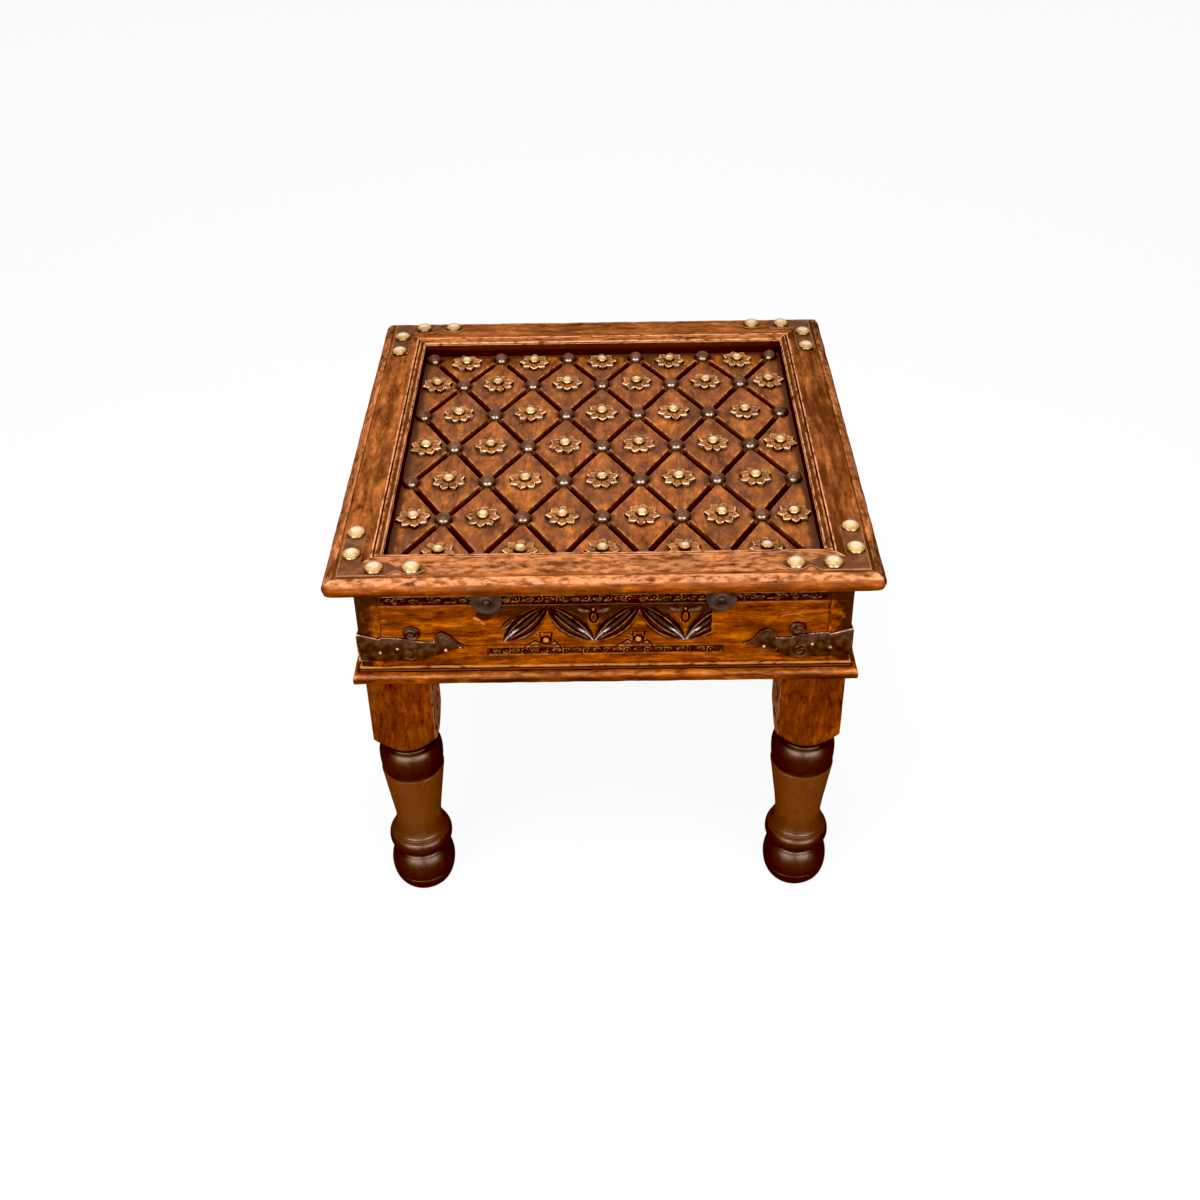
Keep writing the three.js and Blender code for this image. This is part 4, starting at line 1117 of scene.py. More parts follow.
# Carver's cuts on a board face; a cut makes the depth larger where its tool goes, what is kept stays standing
class Carving:
    def __init__(self, across, up):
        self.across, self.up = across, up
        self.depth, self.stain, self.rubbing_and_highlight, self.polish = (np.zeros_like(across) for _ in range(4))

    def from_centre(self, centre):
        return self.across - centre[0], self.up - centre[1]

    def cut(self, depth):
        self.depth = np.maximum(self.depth, depth)

    def along(self, start, end):
        run = math.hypot(end[0] - start[0], end[1] - start[1])
        ux, uz = (end[0] - start[0]) / run, (end[1] - start[1]) / run
        dx, dz = self.from_centre(start)
        return (dx * ux + dz * uz) / run, dz * ux - dx * uz, run

    def keep(self, mask):
        self.depth = self.depth * (1 - mask)

    def leaf(self, start, end, width, deep, before=None):
        share, off, _ = self.along(start, end)
        swell = np.sin(math.pi * np.clip(share, 0, 1))
        out = np.abs(off) / (width / 2 * np.maximum(swell, 1e-3) ** 0.75)
        inside = ((share > 0) & (share < 1)).astype(float)
        if before is not None:
            inside *= smooth_step(before + 0.0004, before - 0.0002, self.across)
        self.cut(inside * deep * np.clip(swell / 0.62, 0, 1) ** 0.9 * np.interp(out, leaf_outs, leaf_depths))
        # The leaf and a soft border round it are darkened; its ridges are rubbed lighter, partly a painted
        # highlight
        self.stain = np.maximum(self.stain, inside * (1 - smooth_step(1.0, 1.45, out)))
        uneven = 0.6 + 0.4 * np.sin(share * 23 + start[0] * 900)
        ridge = hump(out, leaf_ridge, 0.04) * smooth_step(0.3, 0.6, swell) * uneven
        self.rubbing_and_highlight = np.maximum(self.rubbing_and_highlight, 0.55 * inside * ridge)
        from_foot = share if end[1] > start[1] else 1 - share
        self.polish = np.maximum(self.polish, inside * (1 - smooth_step(0.2, 0.34, from_foot)) * (out < 0.42))

    def gouge(self, start, end, width, deep):
        share, off, _ = self.along(start, end)
        swell = np.sin(math.pi * np.clip(share, 0, 1))
        out = off / (width / 2 * np.maximum(swell, 1e-3) ** 0.8)
        inside = (share > 0) & (share < 1)
        self.cut(deep * swell ** 0.5 * np.clip(1 - out ** 2, 0, 1) * inside)
        near = inside * (1 - smooth_step(1.0, 1.5, np.abs(out)))
        # Painted shadow in and round the gouge, with no highlight there
        self.stain = np.maximum(self.stain, 0.9 * near)
        self.rubbing_and_highlight = self.rubbing_and_highlight - 0.8 * near

    def line(self, start, end, width, deep):
        share, off, run = self.along(start, end)
        beyond = np.maximum(np.maximum(-share, share - 1), 0) * run
        self.cut(deep * (1 - smooth_step(0, width / 2, np.hypot(off, beyond))))

    # How far each point is from an arc, and whether it lies within the arc's sweep
    def from_arc(self, centre, radius, start_angle, sweep):
        dx, dz = self.from_centre(centre)
        angle = (np.arctan2(dz, dx) - start_angle) % full_turn
        return np.abs(np.hypot(dx, dz) - radius), angle <= sweep

    def arc(self, centre, radius, start_angle, sweep, width, deep):
        off, swept = self.from_arc(centre, radius, start_angle, sweep)
        self.cut(deep * (1 - smooth_step(width * 0.15, width / 2, off)) * swept)

    def rib(self, centre, radius, start_angle, sweep, width):
        off, swept = self.from_arc(centre, radius, start_angle, sweep)
        self.keep((1 - smooth_step(width * 0.3, width * 0.65, off)) * swept)

    def bead(self, centre, radius, deep):
        away = np.hypot(*self.from_centre(centre))
        self.keep(1 - smooth_step(radius * 0.8, radius * 1.1, away))
        self.rubbing_and_highlight = np.maximum(self.rubbing_and_highlight, 0.8 * (away < radius))
        outer = 1 - smooth_step(radius * 1.3, radius * 2.0, away)
        self.cut(deep * smooth_step(radius * 0.75, radius * 1.15, away) * outer)

    def oval(self, centre, half_width, half_height, width, deep):
        dx, dz = self.from_centre(centre)
        away = np.hypot(dx / half_width, dz / half_height)
        self.cut(deep * (1 - smooth_step(0.1, 0.5, np.abs(away - 1) * half_width / width)))

    def lozenge(self, centre, length, height, tilt):
        dx, dz = self.from_centre(centre)
        along = dx * math.cos(tilt) + dz * math.sin(tilt)
        off = dz * math.cos(tilt) - dx * math.sin(tilt)
        away = np.abs(2 * along / length) ** 1.4 + np.abs(2 * off / height) ** 1.4
        self.keep(1 - smooth_step(0.75, 1.05, away))


# Places and depths of the carving, up from the base moulding and across from the board's middle
leaf_row_start = -0.0902
leaf_row_end = 0.0943
leaf_pitch = 0.0404
leaf_width = 0.0208
leaf_sunk = 0.0048
leaf_low = moulding_top + 0.0256
leaf_high = moulding_top + 0.0646
upper_line = moulding_top + 0.0681
lower_line = moulding_top + 0.0216
band_low = moulding_top + 0.0108
band_high = moulding_top + 0.0186


# A zigzag of leaves, the last one cut off by the row's end, and a stub before the first
def carve_leaves(carving):
    start = leaf_row_start
    rising = True
    while start < leaf_row_end:
        low, high = (leaf_low, leaf_high) if rising else (leaf_high, leaf_low)
        end = start + leaf_pitch
        cut_off = leaf_row_end if end > leaf_row_end else None
        carving.leaf((start + 0.0002, low), (end - 0.0002, high), leaf_width, leaf_sunk, cut_off)
        start = end
        rising = not rising
    stub = ((leaf_row_start - 0.003, leaf_low + 0.014), (leaf_row_start + 0.0125, leaf_low + 0.0285))
    carving.gouge(*stub, 0.005, 0.0024)


# Two strokes that meet above a small gouge, on either side of a bead in its frame
strokes = (
    ((-0.019, -0.006), (-0.0098, 0.0006), (-0.0036, -0.0034)),
    ((0.0036, -0.0036), (0.0075, 0), (0.0125, -0.006)),
)
bead_frame = ((-0.0046, 0.004), (-0.0052, 0.0098), (0.0055, 0.0102), (0.005, 0.0035))


def carve_low_bead(carving, x):
    for stroke in strokes:
        start, top, end = ((x + across, leaf_low + up) for across, up in stroke)
        carving.line(start, top, 0.0022, 0.0026)
        carving.line(top, end, 0.0022, 0.0026)
        carving.gouge((start[0], leaf_low - 0.0045), (end[0], leaf_low - 0.0042), 0.002, 0.0012)
    frame_places = [(x + across, leaf_low + up) for across, up in bead_frame]
    for start, end in zip(frame_places, frame_places[1:]):
        carving.line(start, end, 0.0018, 0.0022)
    carving.line((x - 0.0088, leaf_low + 0.0085), (x - 0.0042, leaf_low + 0.003), 0.0017, 0.0016)
    carving.bead((x, leaf_low + 0.0006), 0.003, 0.0032)


def carve_high_bead(carving, x):
    for hand in (-1, 1):
        inner, outer = (x + hand * 0.0035, leaf_high - 0.0052), (x + hand * 0.0145, leaf_high - 0.0014)
        carving.gouge(inner, outer, 0.0066, 0.0014)
    carving.bead((x, leaf_high - 0.0042), 0.0016, 0.003)
    carving.oval((x, leaf_high - 0.0128), 0.0034, 0.0056, 0.0018, 0.003)


def carve_between_leaves(carving):
    for count, drift in ((1, -0.0025), (3, -0.001)):
        carve_low_bead(carving, leaf_row_start + leaf_pitch * count + drift)
    for count in (2, 4):
        carve_high_bead(carving, leaf_row_start + leaf_pitch * count)


# A running scroll left standing in a sunk band: lozenges, curled ribs and beads by turns, all a little uneven
def carve_scroll(carving, x_from, x_to, low, high, pitch, seed, deep):
    dice = random.Random(seed)
    middle = (low + high) / 2
    tall = high - low
    across, up = carving.across, carving.up
    inside = smooth_step(low, low + 0.0007, up) * (1 - smooth_step(high - 0.0007, high, up))
    inside *= smooth_step(x_from, x_from + 0.003, across)
    inside *= 1 - smooth_step(x_to - 0.003, x_to, across)
    uneven = 0.75 + 0.25 * np.sin(across * 610 + seed) * np.sin(across * 233 + 2 * seed)
    carving.cut(deep * inside * uneven)
    x = x_from + pitch * 0.1
    while x < x_to - pitch * 0.9:
        drift = dice.uniform(-0.04, 0.04) * pitch
        lean = dice.uniform(-0.22, 0.22)
        size = dice.uniform(0.82, 1.08)
        side = dice.choice((-1, 1))
        leaf = (x + pitch * 0.3 + drift, middle + tall * 0.05 * side)
        bead = (x + pitch * 0.76 + drift, middle - tall * 0.1 * side)
        bud = (x + pitch * 0.6 + drift, middle + tall * 0.3 * side)
        carving.lozenge(leaf, pitch * 0.52 * size, tall * 0.8, lean)
        carving.rib(bead, tall * 0.4, 0.5 + (0 if side > 0 else half_turn) + lean, 3.6, tall * 0.2)
        carving.lozenge(bead, tall * 0.3, tall * 0.3, 0)
        carving.lozenge(bud, pitch * 0.12, tall * 0.24, lean + 0.6)
        vein = ((x + pitch * 0.2, middle - tall * 0.1 * side), (x + pitch * 0.38, middle - tall * 0.22 * side))
        carving.line(*vein, 0.001, 0.0012)
        x += pitch * dice.uniform(0.92, 1.06)


line_reach = box_half - 0.0215
lower_line_reach = line_reach - 0.065
scroll_reach = line_reach - 0.001
scroll_pitch = 0.0205
scroll_split = upper_line + 0.0088
scroll_depth = 0.003
low_scroll = (-0.104, 0.106)
low_scroll_pitch = 0.0185
low_scroll_depth = 0.0026
scratches = 16


def carve_side(carving, seed):
    dice = random.Random(seed)
    carving.line((-line_reach, upper_line), (line_reach, upper_line), 0.0019, 0.0018)
    carving.line((-lower_line_reach, lower_line), (lower_line_reach, lower_line), 0.0015, 0.0014)
    carve_leaves(carving)
    carve_between_leaves(carving)
    for low, high, own_seed in (
        (upper_line + 0.0008, scroll_split, seed + 1), (scroll_split + 0.0006, box_top - 0.0056, seed + 3),
    ):
        carve_scroll(carving, -scroll_reach, scroll_reach, low, high, scroll_pitch, own_seed, scroll_depth)
    carve_scroll(carving, *low_scroll, band_low, band_high, low_scroll_pitch, seed + 2, low_scroll_depth)
    for hand in (-1, 1):
        top = (hand * (line_reach - 0.003), upper_line - 0.001)
        foot = (hand * (line_reach - 0.0036), upper_line - 0.014)
        carving.line(top, foot, 0.0009, 0.0006)
    carving.arc((0.166, upper_line - 0.033), 0.0185, 0.9, half_turn - 1.4, 0.0012, 0.0007)
    for _ in range(scratches):
        x = dice.uniform(-0.18, 0.18)
        z = dice.uniform(moulding_top + 0.004, upper_line)
        length = dice.uniform(0.003, 0.011)
        carving.line((x, z), (x + length, z + dice.uniform(-0.001, 0.001)), 0.0008, 0.0004)


carved_half = 0.108
fine_step = 0.00062
fine_rise = 0.00064


# Points lie close together where the board is carved finely
def apron_spacing(half):
    middle = np.arange(-carved_half, carved_half, fine_step)
    outer = np.linspace(carved_half, half, 90)
    across = np.concatenate((-outer[::-1], middle[1:], outer))
    carved_foot = band_low - 0.001
    foot = np.linspace(box_foot, carved_foot, 14)[:-1]
    carved = np.arange(carved_foot, box_top - 0.0008, fine_rise)
    return across, np.concatenate((foot, carved, (box_top - 0.0006, box_top)))


disc_low, disc_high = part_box("front_left_disc")
disc_level = (disc_low.z + disc_high.z) / 2
dark_patch_under_disc = (-0.1055, disc_level - 0.0172)
pale_sliver = ((-0.1142, upper_line - 0.0152), (-0.1062, upper_line - 0.0215))


# The board is darker at its ends, over the upper bands and the low band, round the carving and more so towards
# its top, in a patch under the left disc, a little everywhere, and over the leaves
def apron_darkening(places, half, is_end, leaves):
    away, level = np.abs(places[:, 0]), places[:, 2]
    in_front = places[:, 1] < 0.003 - box_half
    smear_x, smear_z = dark_patch_under_disc
    under_disc = np.hypot((places[:, 0] - smear_x) / 0.0095, (level - smear_z) / 0.0075)
    low_band = smooth_step(band_low - 0.001, band_low + 0.001, level)
    low_band *= 1 - smooth_step(band_high, band_high + 0.001, level)
    upwards = 0.28 + 0.4 * smooth_step(leaf_low + 0.02, leaf_high, level)
    return np.maximum.reduce((
        0.5 * smooth_step(half - 0.005, half, away) * is_end,
        in_front * (away > box_half - 0.0005),
        0.7 * smooth_step(upper_line - 0.001, upper_line + 0.001, level),
        0.75 * low_band * (away < 0.106),
        smooth_step(0.115, 0.09, away) * upwards * (level > lower_line),
        0.95 * (1 - smooth_step(0.5, 1.1, under_disc)),
        np.full(len(places), 0.14),
        leaves,
    )), in_front


def build_apron(side, angle, count):
    is_end = side in ("front", "back")
    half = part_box("front_apron")[1].x if is_end else box_half
    across, up = apron_spacing(half)
    x, z = np.meshgrid(across, up)
    carving = Carving(x, z)
    carve_side(carving, 40 + count)
    flat = np.column_stack((x.ravel(), z.ravel(), np.zeros(x.size)))
    broad, fine = ripple(flat, 0.03, count + 21), ripple(flat * (1, 4, 1), 0.008, count + 31)
    waves = 0.00022 * np.clip(broad + 0.2, 0, 1) + 0.00007 * np.clip(fine, 0, 1)
    depth = carving.depth.ravel() + waves
    places = side_places(np.column_stack((x.ravel(), z.ravel(), -depth)), 0)
    mesh = mesh_of(f"{side}_board", places, grid_faces(len(up), len(across)))
    change_mesh(mesh, lambda work: close_below(work, 1, -box_inner))
    rest = np.zeros(len(mesh.vertices) - len(depth))
    # Painted shade in the carving, deeper cuts darker
    hollow_shade = smooth_step(0.0004, 0.0034, depth)
    hollow_shade, leaves, rubbing_and_highlight, polish = (
        np.append(note, rest) for note in (hollow_shade, carving.stain, carving.rubbing_and_highlight, carving.polish)
    )
    places = read_places(mesh)
    stain, in_front = apron_darkening(places, half, is_end, leaves)
    sliver = Carving(places[:, 0], places[:, 2])
    sliver.line(*pale_sliver, 0.0042, 1)
    write_places(mesh, turned_places(places, angle))
    bare = 1.6 * sliver.depth * in_front
    note_shape(mesh, 0.0009, hollow_shade=hollow_shade, stain=stain * (1 - sliver.depth), rub_and_highlight=rubbing_and_highlight + bare)
    write_numbers(mesh, "polished", polish)
    wood = box_wood[board_grain[side]]
    add_piece(f"{side}_board", mesh, wood, [f"{side}_apron"], sharp_angle=50)


def build_aprons():
    for count, (side, angle) in enumerate(sides.items()):
        build_apron(side, angle, count)


# Base moulding: a half-round nose under a thin fillet
moulding_depth = moulding_half - box_half - 0.0003
moulding_nose = moulding_depth - 0.0024
moulding_nose_height = 0.0122
moulding_nose_head = box_foot + moulding_nose_height
moulding_steps = 18


def moulding_section():
    nose = moulding_nose
    section = [(moulding_depth, box_foot), (moulding_depth * 0.85, box_foot)]
    for step in range(moulding_steps + 1):
        angle = half_turn * step / moulding_steps - quarter_turn
        power = 0.45 if angle < 0 else 0.9
        rise = 1 + math.copysign(abs(math.sin(angle)) ** power, angle)
        section.append((nose * (1 - math.cos(angle) ** power), box_foot + moulding_nose_height / 2 * rise))
    section += [
        (nose + 0.0003, moulding_nose_head + 0.0004), (nose + 0.0004, moulding_top - 0.0024),
        (nose + 0.00012, moulding_top - 0.0018), (nose + 0.0001, moulding_top - 0.0005),
        (nose + 0.0006, moulding_top), (moulding_depth, moulding_top),
    ]
    return section


# The fillet above the nose is dark; the nose's top and the upper edge get a painted highlight, and the nose's
# lower side painted shade
def moulding_notes(section):
    inset, level = np.array(section).T
    outer = inset < moulding_half - box_half - 0.001
    fillet = (level > moulding_nose_head - 0.0002) & (level < moulding_top - 0.0015)
    below = (level < box_foot + 0.007) & outer
    lit_nose_top = (level > box_foot + 0.0085) & (level < moulding_nose_head - 0.001)
    edge = (level > moulding_top - 0.001) & outer
    return 0.9 * fillet + 0.5 * below, 0.12 * lit_nose_top + 0.6 * edge - below


def build_mouldings():
    section = moulding_section()
    shares = np.linspace(-1, 1, 220)
    notes = [np.tile(note, len(shares)) for note in moulding_notes(section)]
    for count, (side, angle) in enumerate(sides.items()):
        rings = [
            [
                (share * (moulding_half - inset - mitre_gap), inset - moulding_half, level)
                for inset, level in section
            ]
            for share in shares
        ]
        mesh = loft(f"{side}_moulding", rings)
        turn_mesh(mesh, angle)
        face_outwards(mesh)
        dent(mesh, 0.016, 0.0004, count + 5)
        dent(mesh, 0.005, 0.00015, count + 15)
        note_shape(mesh, 0.0016, stain=notes[0], rub_and_highlight=notes[1])
        wood = box_wood[board_grain[side]]
        add_piece(f"{side}_moulding", mesh, wood, [f"{side}_base_moulding"])


# Legs: a turned shaft under a square block with a rounded foot, and a post that stands in the box's corner
leg_width = 0.0586
leg_axis = box_half - leg_width / 2
pommel_foot = 0.190
pommel_rise = 0.021
neck_radius = 0.0243
pommel_blend = 0.0004
block_sharpness = 26
shoulder = box_foot - 0.0003


def swelling(foot, height, radius_from, widest, radius_to, fullness, steps):
    points = []
    for step in range(steps + 1):
        away = 2 * step / steps - 1
        end = radius_from if away < 0 else radius_to
        radius = end + (widest - end) * max(1 - away * away, 0) ** fullness
        points.append((radius, foot + height * step / steps))
    return points


# The shaft from the sole to the neck under the block, as radius and level
def shaft_profile():
    sole = [(0.0232, 0.0), (0.0242, 0.0007)]
    foot_ball = swelling(0.0008, 0.0438, 0.0247, 0.0317, 0.0244, 0.68, 40)
    scored = [(radius - 0.0009 * hump(level, 0.0175, 0.0006), level) for radius, level in foot_ball]
    lower_neck = [(0.0241, 0.0458), (0.0240, 0.0470), (0.0241, 0.0482)]
    ring = swelling(0.0492, 0.0182, 0.0246, 0.0313, 0.0272, 0.55, 24)
    fillet = [(0.0270, 0.0676), (0.0276, 0.0681), (0.0276, 0.0695), (0.0272, 0.07), (0.0261, 0.0702)]
    cove = [(0.0224 + 0.0034 * (1 - step / 12) ** 2.2, 0.0704 + 0.0186 * step / 12) for step in range(13)]
    taper = [(0.0224 + 0.0078 * (step / 26) ** 1.08, 0.089 + 0.0632 * step / 26) for step in range(1, 27)]
    groove = [
        (0.0302, 0.1528), (0.03, 0.1534), (0.0291, 0.1538), (0.0274, 0.1543), (0.0271, 0.1558), (0.0273, 0.1572),
        (0.0286, 0.1576),
    ]
    upper_ball = swelling(0.158, 0.0288, 0.029, 0.0306, 0.0246, 0.55, 26)
    neck = [(0.0241, 0.1875), (0.024, 0.1888)]
    return sole + scored + lower_neck + ring + fillet + cove + taper + groove + upper_ball + neck


# Points round the leg, closer together at the block's four corners
def leg_angles():
    near = np.radians((-4, -2.6, -1.5, -0.7, 0.7, 1.5, 2.6, 4))
    at_corners = [quarter_turn * (index + 0.5) + near for index in range(4)]
    return np.unique(np.concatenate((round_angles(128), *at_corners)).round(6))


def turned_part():
    angles = leg_angles()
    rings = [ring_at(radius, level, angles) for radius, level in shaft_profile()]
    corner_power = np.abs(np.cos(angles)) ** block_sharpness + np.abs(np.sin(angles)) ** block_sharpness
    square = leg_width / 2 / corner_power ** (1 / block_sharpness)
    slope = pommel_rise / (leg_width / math.sqrt(2) - neck_radius)
    pommel_levels = np.arange(pommel_foot, pommel_foot + pommel_rise + 0.004, 0.0007)
    for level in np.concatenate((pommel_levels, np.linspace(pommel_foot + 0.028, shoulder, 22))):
        round_radius = neck_radius + (level - pommel_foot) / slope
        radius = -pommel_blend * np.logaddexp(-square / pommel_blend, -round_radius / pommel_blend)
        rings.append(ring_at(radius, level, angles))
    mesh = loft("leg", rings)
    face_outwards(mesh)
    return mesh


def post_part():
    outer, inner = box_inner - 0.0003, box_half - leg_width
    foot, head = shoulder - 0.004, panel_foot - 0.0003
    middle = leg_axis - (outer + inner) / 2
    work = bmesh.new()
    bmesh.ops.create_cube(work, size=1)
    bmesh.ops.scale(work, vec=(outer - inner, outer - inner, head - foot), verts=work.verts)
    bmesh.ops.translate(work, vec=(middle, middle, (foot + head) / 2), verts=work.verts)
    bmesh.ops.bevel(work, geom=work.edges[:], offset=0.0006, segments=2, affect="EDGES")
    mesh = bpy.data.meshes.new("post")
    work.to_mesh(mesh)
    work.free()
    return mesh


def joined(first, second):
    whole = bpy.data.objects.new("whole", first)
    tool = bpy.data.objects.new("tool", second)
    for item in (whole, tool):
        bpy.context.scene.collection.objects.link(item)
    modifier = whole.modifiers.new("join", "BOOLEAN")
    modifier.operation = "UNION"
    modifier.solver = "EXACT"
    modifier.object = tool
    mesh = bpy.data.meshes.new_from_object(whole.evaluated_get(bpy.context.evaluated_depsgraph_get()))
    bpy.data.objects.remove(whole)
    bpy.data.objects.remove(tool)
    return mesh


leg_necks = ((0.156, 0.0018), (0.0468, 0.002), (0.1888, 0.0028))


# The balls and the foot of the taper are painted darker than the taper, and the necks between them get the
# darkest painted shade
def leg_notes(level):
    turned = 1 - smooth_step(pommel_foot - 0.002, pommel_foot + 0.012, level)
    balls = 0.36 * (1 - smooth_step(0.064, 0.071, level)) + 0.36 * smooth_step(0.157, 0.159, level) * turned
    balls = np.maximum(balls, 0.24 * (1 - smooth_step(0.076, 0.105, level)))
    necks = sum(hump(level, middle, reach) for middle, reach in leg_necks)
    return np.maximum(balls, necks), 0.7 * turned


def build_legs():
    shape = joined(turned_part(), post_part())
    for count, (corner, angle) in enumerate(corners.items()):
        mesh = shape.copy()
        # The block's inner sides are painted lighter, a painted reflection
        lit_inner_side = read_normals(mesh)[:, :2].max(axis=1) > 0.8
        places = read_places(mesh) - (leg_axis, leg_axis, 0)
        write_places(mesh, turned_places(places, angle))
        dent(mesh, 0.024, 0.00035, count + 3)
        level = read_places(mesh)[:, 2]
        hollow_shade, stain = leg_notes(level)
        on_block = level > pommel_foot + 0.008
        note_shape(mesh, 0.0003, hollow_shade=hollow_shade, stain=stain, rub_and_highlight=0.42 * lit_inner_side * on_block)
        add_piece(f"{corner}_turned_leg", mesh, leg_wood, [f"{corner}_leg"], sharp_angle=50)


# Thin sheet metal from an outline in across and up, with a raised rim, cut across where it is to be bent
def sheet_mesh(name, outline, thickness, rim, cuts=()):
    work = bmesh.new()
    vertices = [work.verts.new((across, up, 0)) for across, up in outline]
    work.faces.new(vertices)
    bmesh.ops.recalc_face_normals(work, faces=work.faces)
    for position in cuts:
        geometry = work.verts[:] + work.edges[:] + work.faces[:]
        bmesh.ops.bisect_plane(work, geom=geometry, plane_co=(position, 0, 0), plane_no=(1, 0, 0))
    upper = bmesh.ops.extrude_face_region(work, geom=work.faces[:])["geom"]
    top = [item for item in upper if isinstance(item, bmesh.types.BMFace)]
    raised = [item for item in upper if isinstance(item, bmesh.types.BMVert)]
    bmesh.ops.translate(work, vec=(0, 0, thickness), verts=raised)
    bmesh.ops.inset_region(work, faces=top, thickness=rim, depth=-thickness * 0.22, use_even_offset=True)
    bmesh.ops.recalc_face_normals(work, faces=work.faces)
    sharp = [edge for edge in work.edges if edge.calc_face_angle(0) > math.radians(30)]
    rounding = thickness * 0.26
    bmesh.ops.bevel(work, geom=sharp, offset=rounding, segments=2, affect="EDGES", clamp_overlap=True)
    bmesh.ops.triangulate(work, faces=[face for face in work.faces if len(face.verts) > 4])
    mesh = bpy.data.meshes.new(name)
    work.to_mesh(mesh)
    work.free()
    return mesh


# A smooth outline through the points; a point given with a third value stays a corner
def curve_through(points):
    steps = 4
    outline = []
    for index, first in enumerate(points):
        second = points[(index + 1) % len(points)]
        before, after = points[index - 1], points[(index + 2) % len(points)]
        start_slope = np.zeros(2) if len(first) > 2 else (np.array(second[:2]) - before[:2]) / 2
        end_slope = np.zeros(2) if len(second) > 2 else (np.array(after[:2]) - first[:2]) / 2
        for step in range(steps):
            t = step / steps
            outline.append(tuple(
                (2 * t ** 3 - 3 * t ** 2 + 1) * np.array(first[:2]) + (t ** 3 - 2 * t ** 2 + t) * start_slope
                + (3 * t ** 2 - 2 * t ** 3) * np.array(second[:2]) + (t ** 3 - t ** 2) * end_slope
            ))
    return outline


def merged(name, meshes):
    work = bmesh.new()
    for mesh in meshes:
        work.from_mesh(mesh)
    whole = bpy.data.meshes.new(name)
    work.to_mesh(whole)
    work.free()
    return whole


# Corner plates: an arm along each rail, the one along the end rail ending in a pointed leaf
plate_thickness = plate_high.z - plate_low.z
plate_rim = 0.0011
plate_arm = 0.019
plate_leaf_length = 0.028
plate_leaf_width = 0.0164
plate_neck = 0.0046
plate_neck_length = 0.0068
stud_radius = 0.0086
stud_height = 0.0048
stud_kinds = ("end_stud_1", "end_stud_2", "side_stud_1", "side_stud_2")


def plate_outline():
    left, front, leaf_end, side_end = plate_low.x, plate_low.y, plate_high.x, plate_high.y
    middle = front + plate_arm / 2
    leaf_start = leaf_end - plate_leaf_length
    neck_start = leaf_start - plate_neck_length
    neck_end = leaf_start + 0.0004
    leaf = [
        (leaf_start + plate_leaf_length * share, plate_leaf_width / 2 * math.sin(math.pi * share) ** 0.8)
        for share in np.linspace(0.1, 1, 10)[:-1]
    ]
    lower = [(left, front), (neck_start, front), (neck_end, middle - plate_neck / 2)]
    lower += [(x, middle - half) for x, half in leaf]
    upper = [(x, middle + half) for x, half in reversed(leaf)]
    upper += [(neck_end, middle + plate_neck / 2), (neck_start, front + plate_arm)]
    arm = [(left + plate_arm, front + plate_arm), (left + plate_arm, side_end), (left, side_end)]
    return lower + [(leaf_end, middle)] + upper + arm


def build_corner_plates():
    outline = plate_outline()
    for corner in corners:
        mirror = 1 if corner in ("front_left", "back_right") else -1
        angle = 0 if corner.startswith("front") else half_turn
        mesh = sheet_mesh(f"{corner}_plate", outline, plate_thickness, plate_rim)
        places = read_places(mesh) * (mirror, 1, 1) + (0, 0, plate_low.z)
        write_places(mesh, turned_places(places, angle))
        face_outwards(mesh)
        # Front-facing edges get a painted highlight, and the plate's foot painted shade
        at_foot = read_places(mesh)[:, 2] < plate_low.z + 0.0003
        lit_front_faces = read_normals(mesh)[:, 1] < -0.3
        note_shape(mesh, 0.0006, rub_and_highlight=0.8 * lit_front_faces * ~at_foot)
        write_numbers(mesh, "crease_shade", at_foot)
        add_piece(f"{corner}_plate", mesh, plate_iron, [f"{corner}_corner_plate"], sharp_angle=35)


def build_studs():
    names = [f"{corner}_{kind}" for corner in corners for kind in stud_kinds]
    studs = []
    for low, high in (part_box(name) for name in names):
        studs.append(((low.x + high.x) / 2, (low.y + high.y) / 2, high.z - stud_height))
    stud = dome_unit("stud", stud_radius, stud_height, 0.0002, 40, 12, lip=0.0002, ring=0.5, crown_highlight=0.8)
    mesh = scatter("corner_studs", studs, stud, brass, size_spread=0.04, tilt=0.035, seed=21)
    add_piece("corner_studs", mesh, brass, names, sharp_angle=50)


# Straps round the corners of the box. A place is reach from the corner, rise from the strap's foot, and out.
strap_gap = 0.0003
strap_thickness = 0.0016
strap_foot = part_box("front_left_corner_strap")[0].z
strap_rim = 0.0009
strap_bend = 0.0004
strap_cuts = (-0.0006, 0, 0.0006)
strap_points = (
    (0.0178, 0.0255), (0.0413, 0.0254), (0.0532, 0.0222), (0.0662, 0.022, 1), (0.0676, 0.0275),
    (0.0727, 0.0324), (0.0796, 0.0298), (0.0874, 0.0203), (0.095, 0.0158, 1), (0.0847, 0.0134),
    (0.0708, 0.0075), (0.0545, 0.0005, 1),
)
strap_corner_top = (0, 0.031)
strap_corner_foot = ((0.02, 0.0), (0, 0.0012), (-0.02, 0.0))
strap_head = (
    (0.069, 0.0205), (0.0735, 0.0282), (0.0795, 0.0262), (0.0862, 0.0188), (0.0905, 0.0159, 1), (0.0835, 0.0148),
    (0.073, 0.0105), (0.0655, 0.0085),
)
strap_head_thickness = 0.0021
strap_head_rim = 0.0008
strap_head_start = 0.067
upper_lobe = {"centre": (0.0472, 0.0312), "radius": 0.0076, "turns": 1.6}
lower_lobe = {"centre": (0.0438, 0.0078), "radius": 0.0083, "turns": 1.9}
lobe_height = 0.0026
strap_nails = ((0.0177, 0.0107, 0.0012), (0.0335, 0.0146, 0.0012), (0.0767, 0.0132, 0.0018))
strap_nail_radius = 0.0026
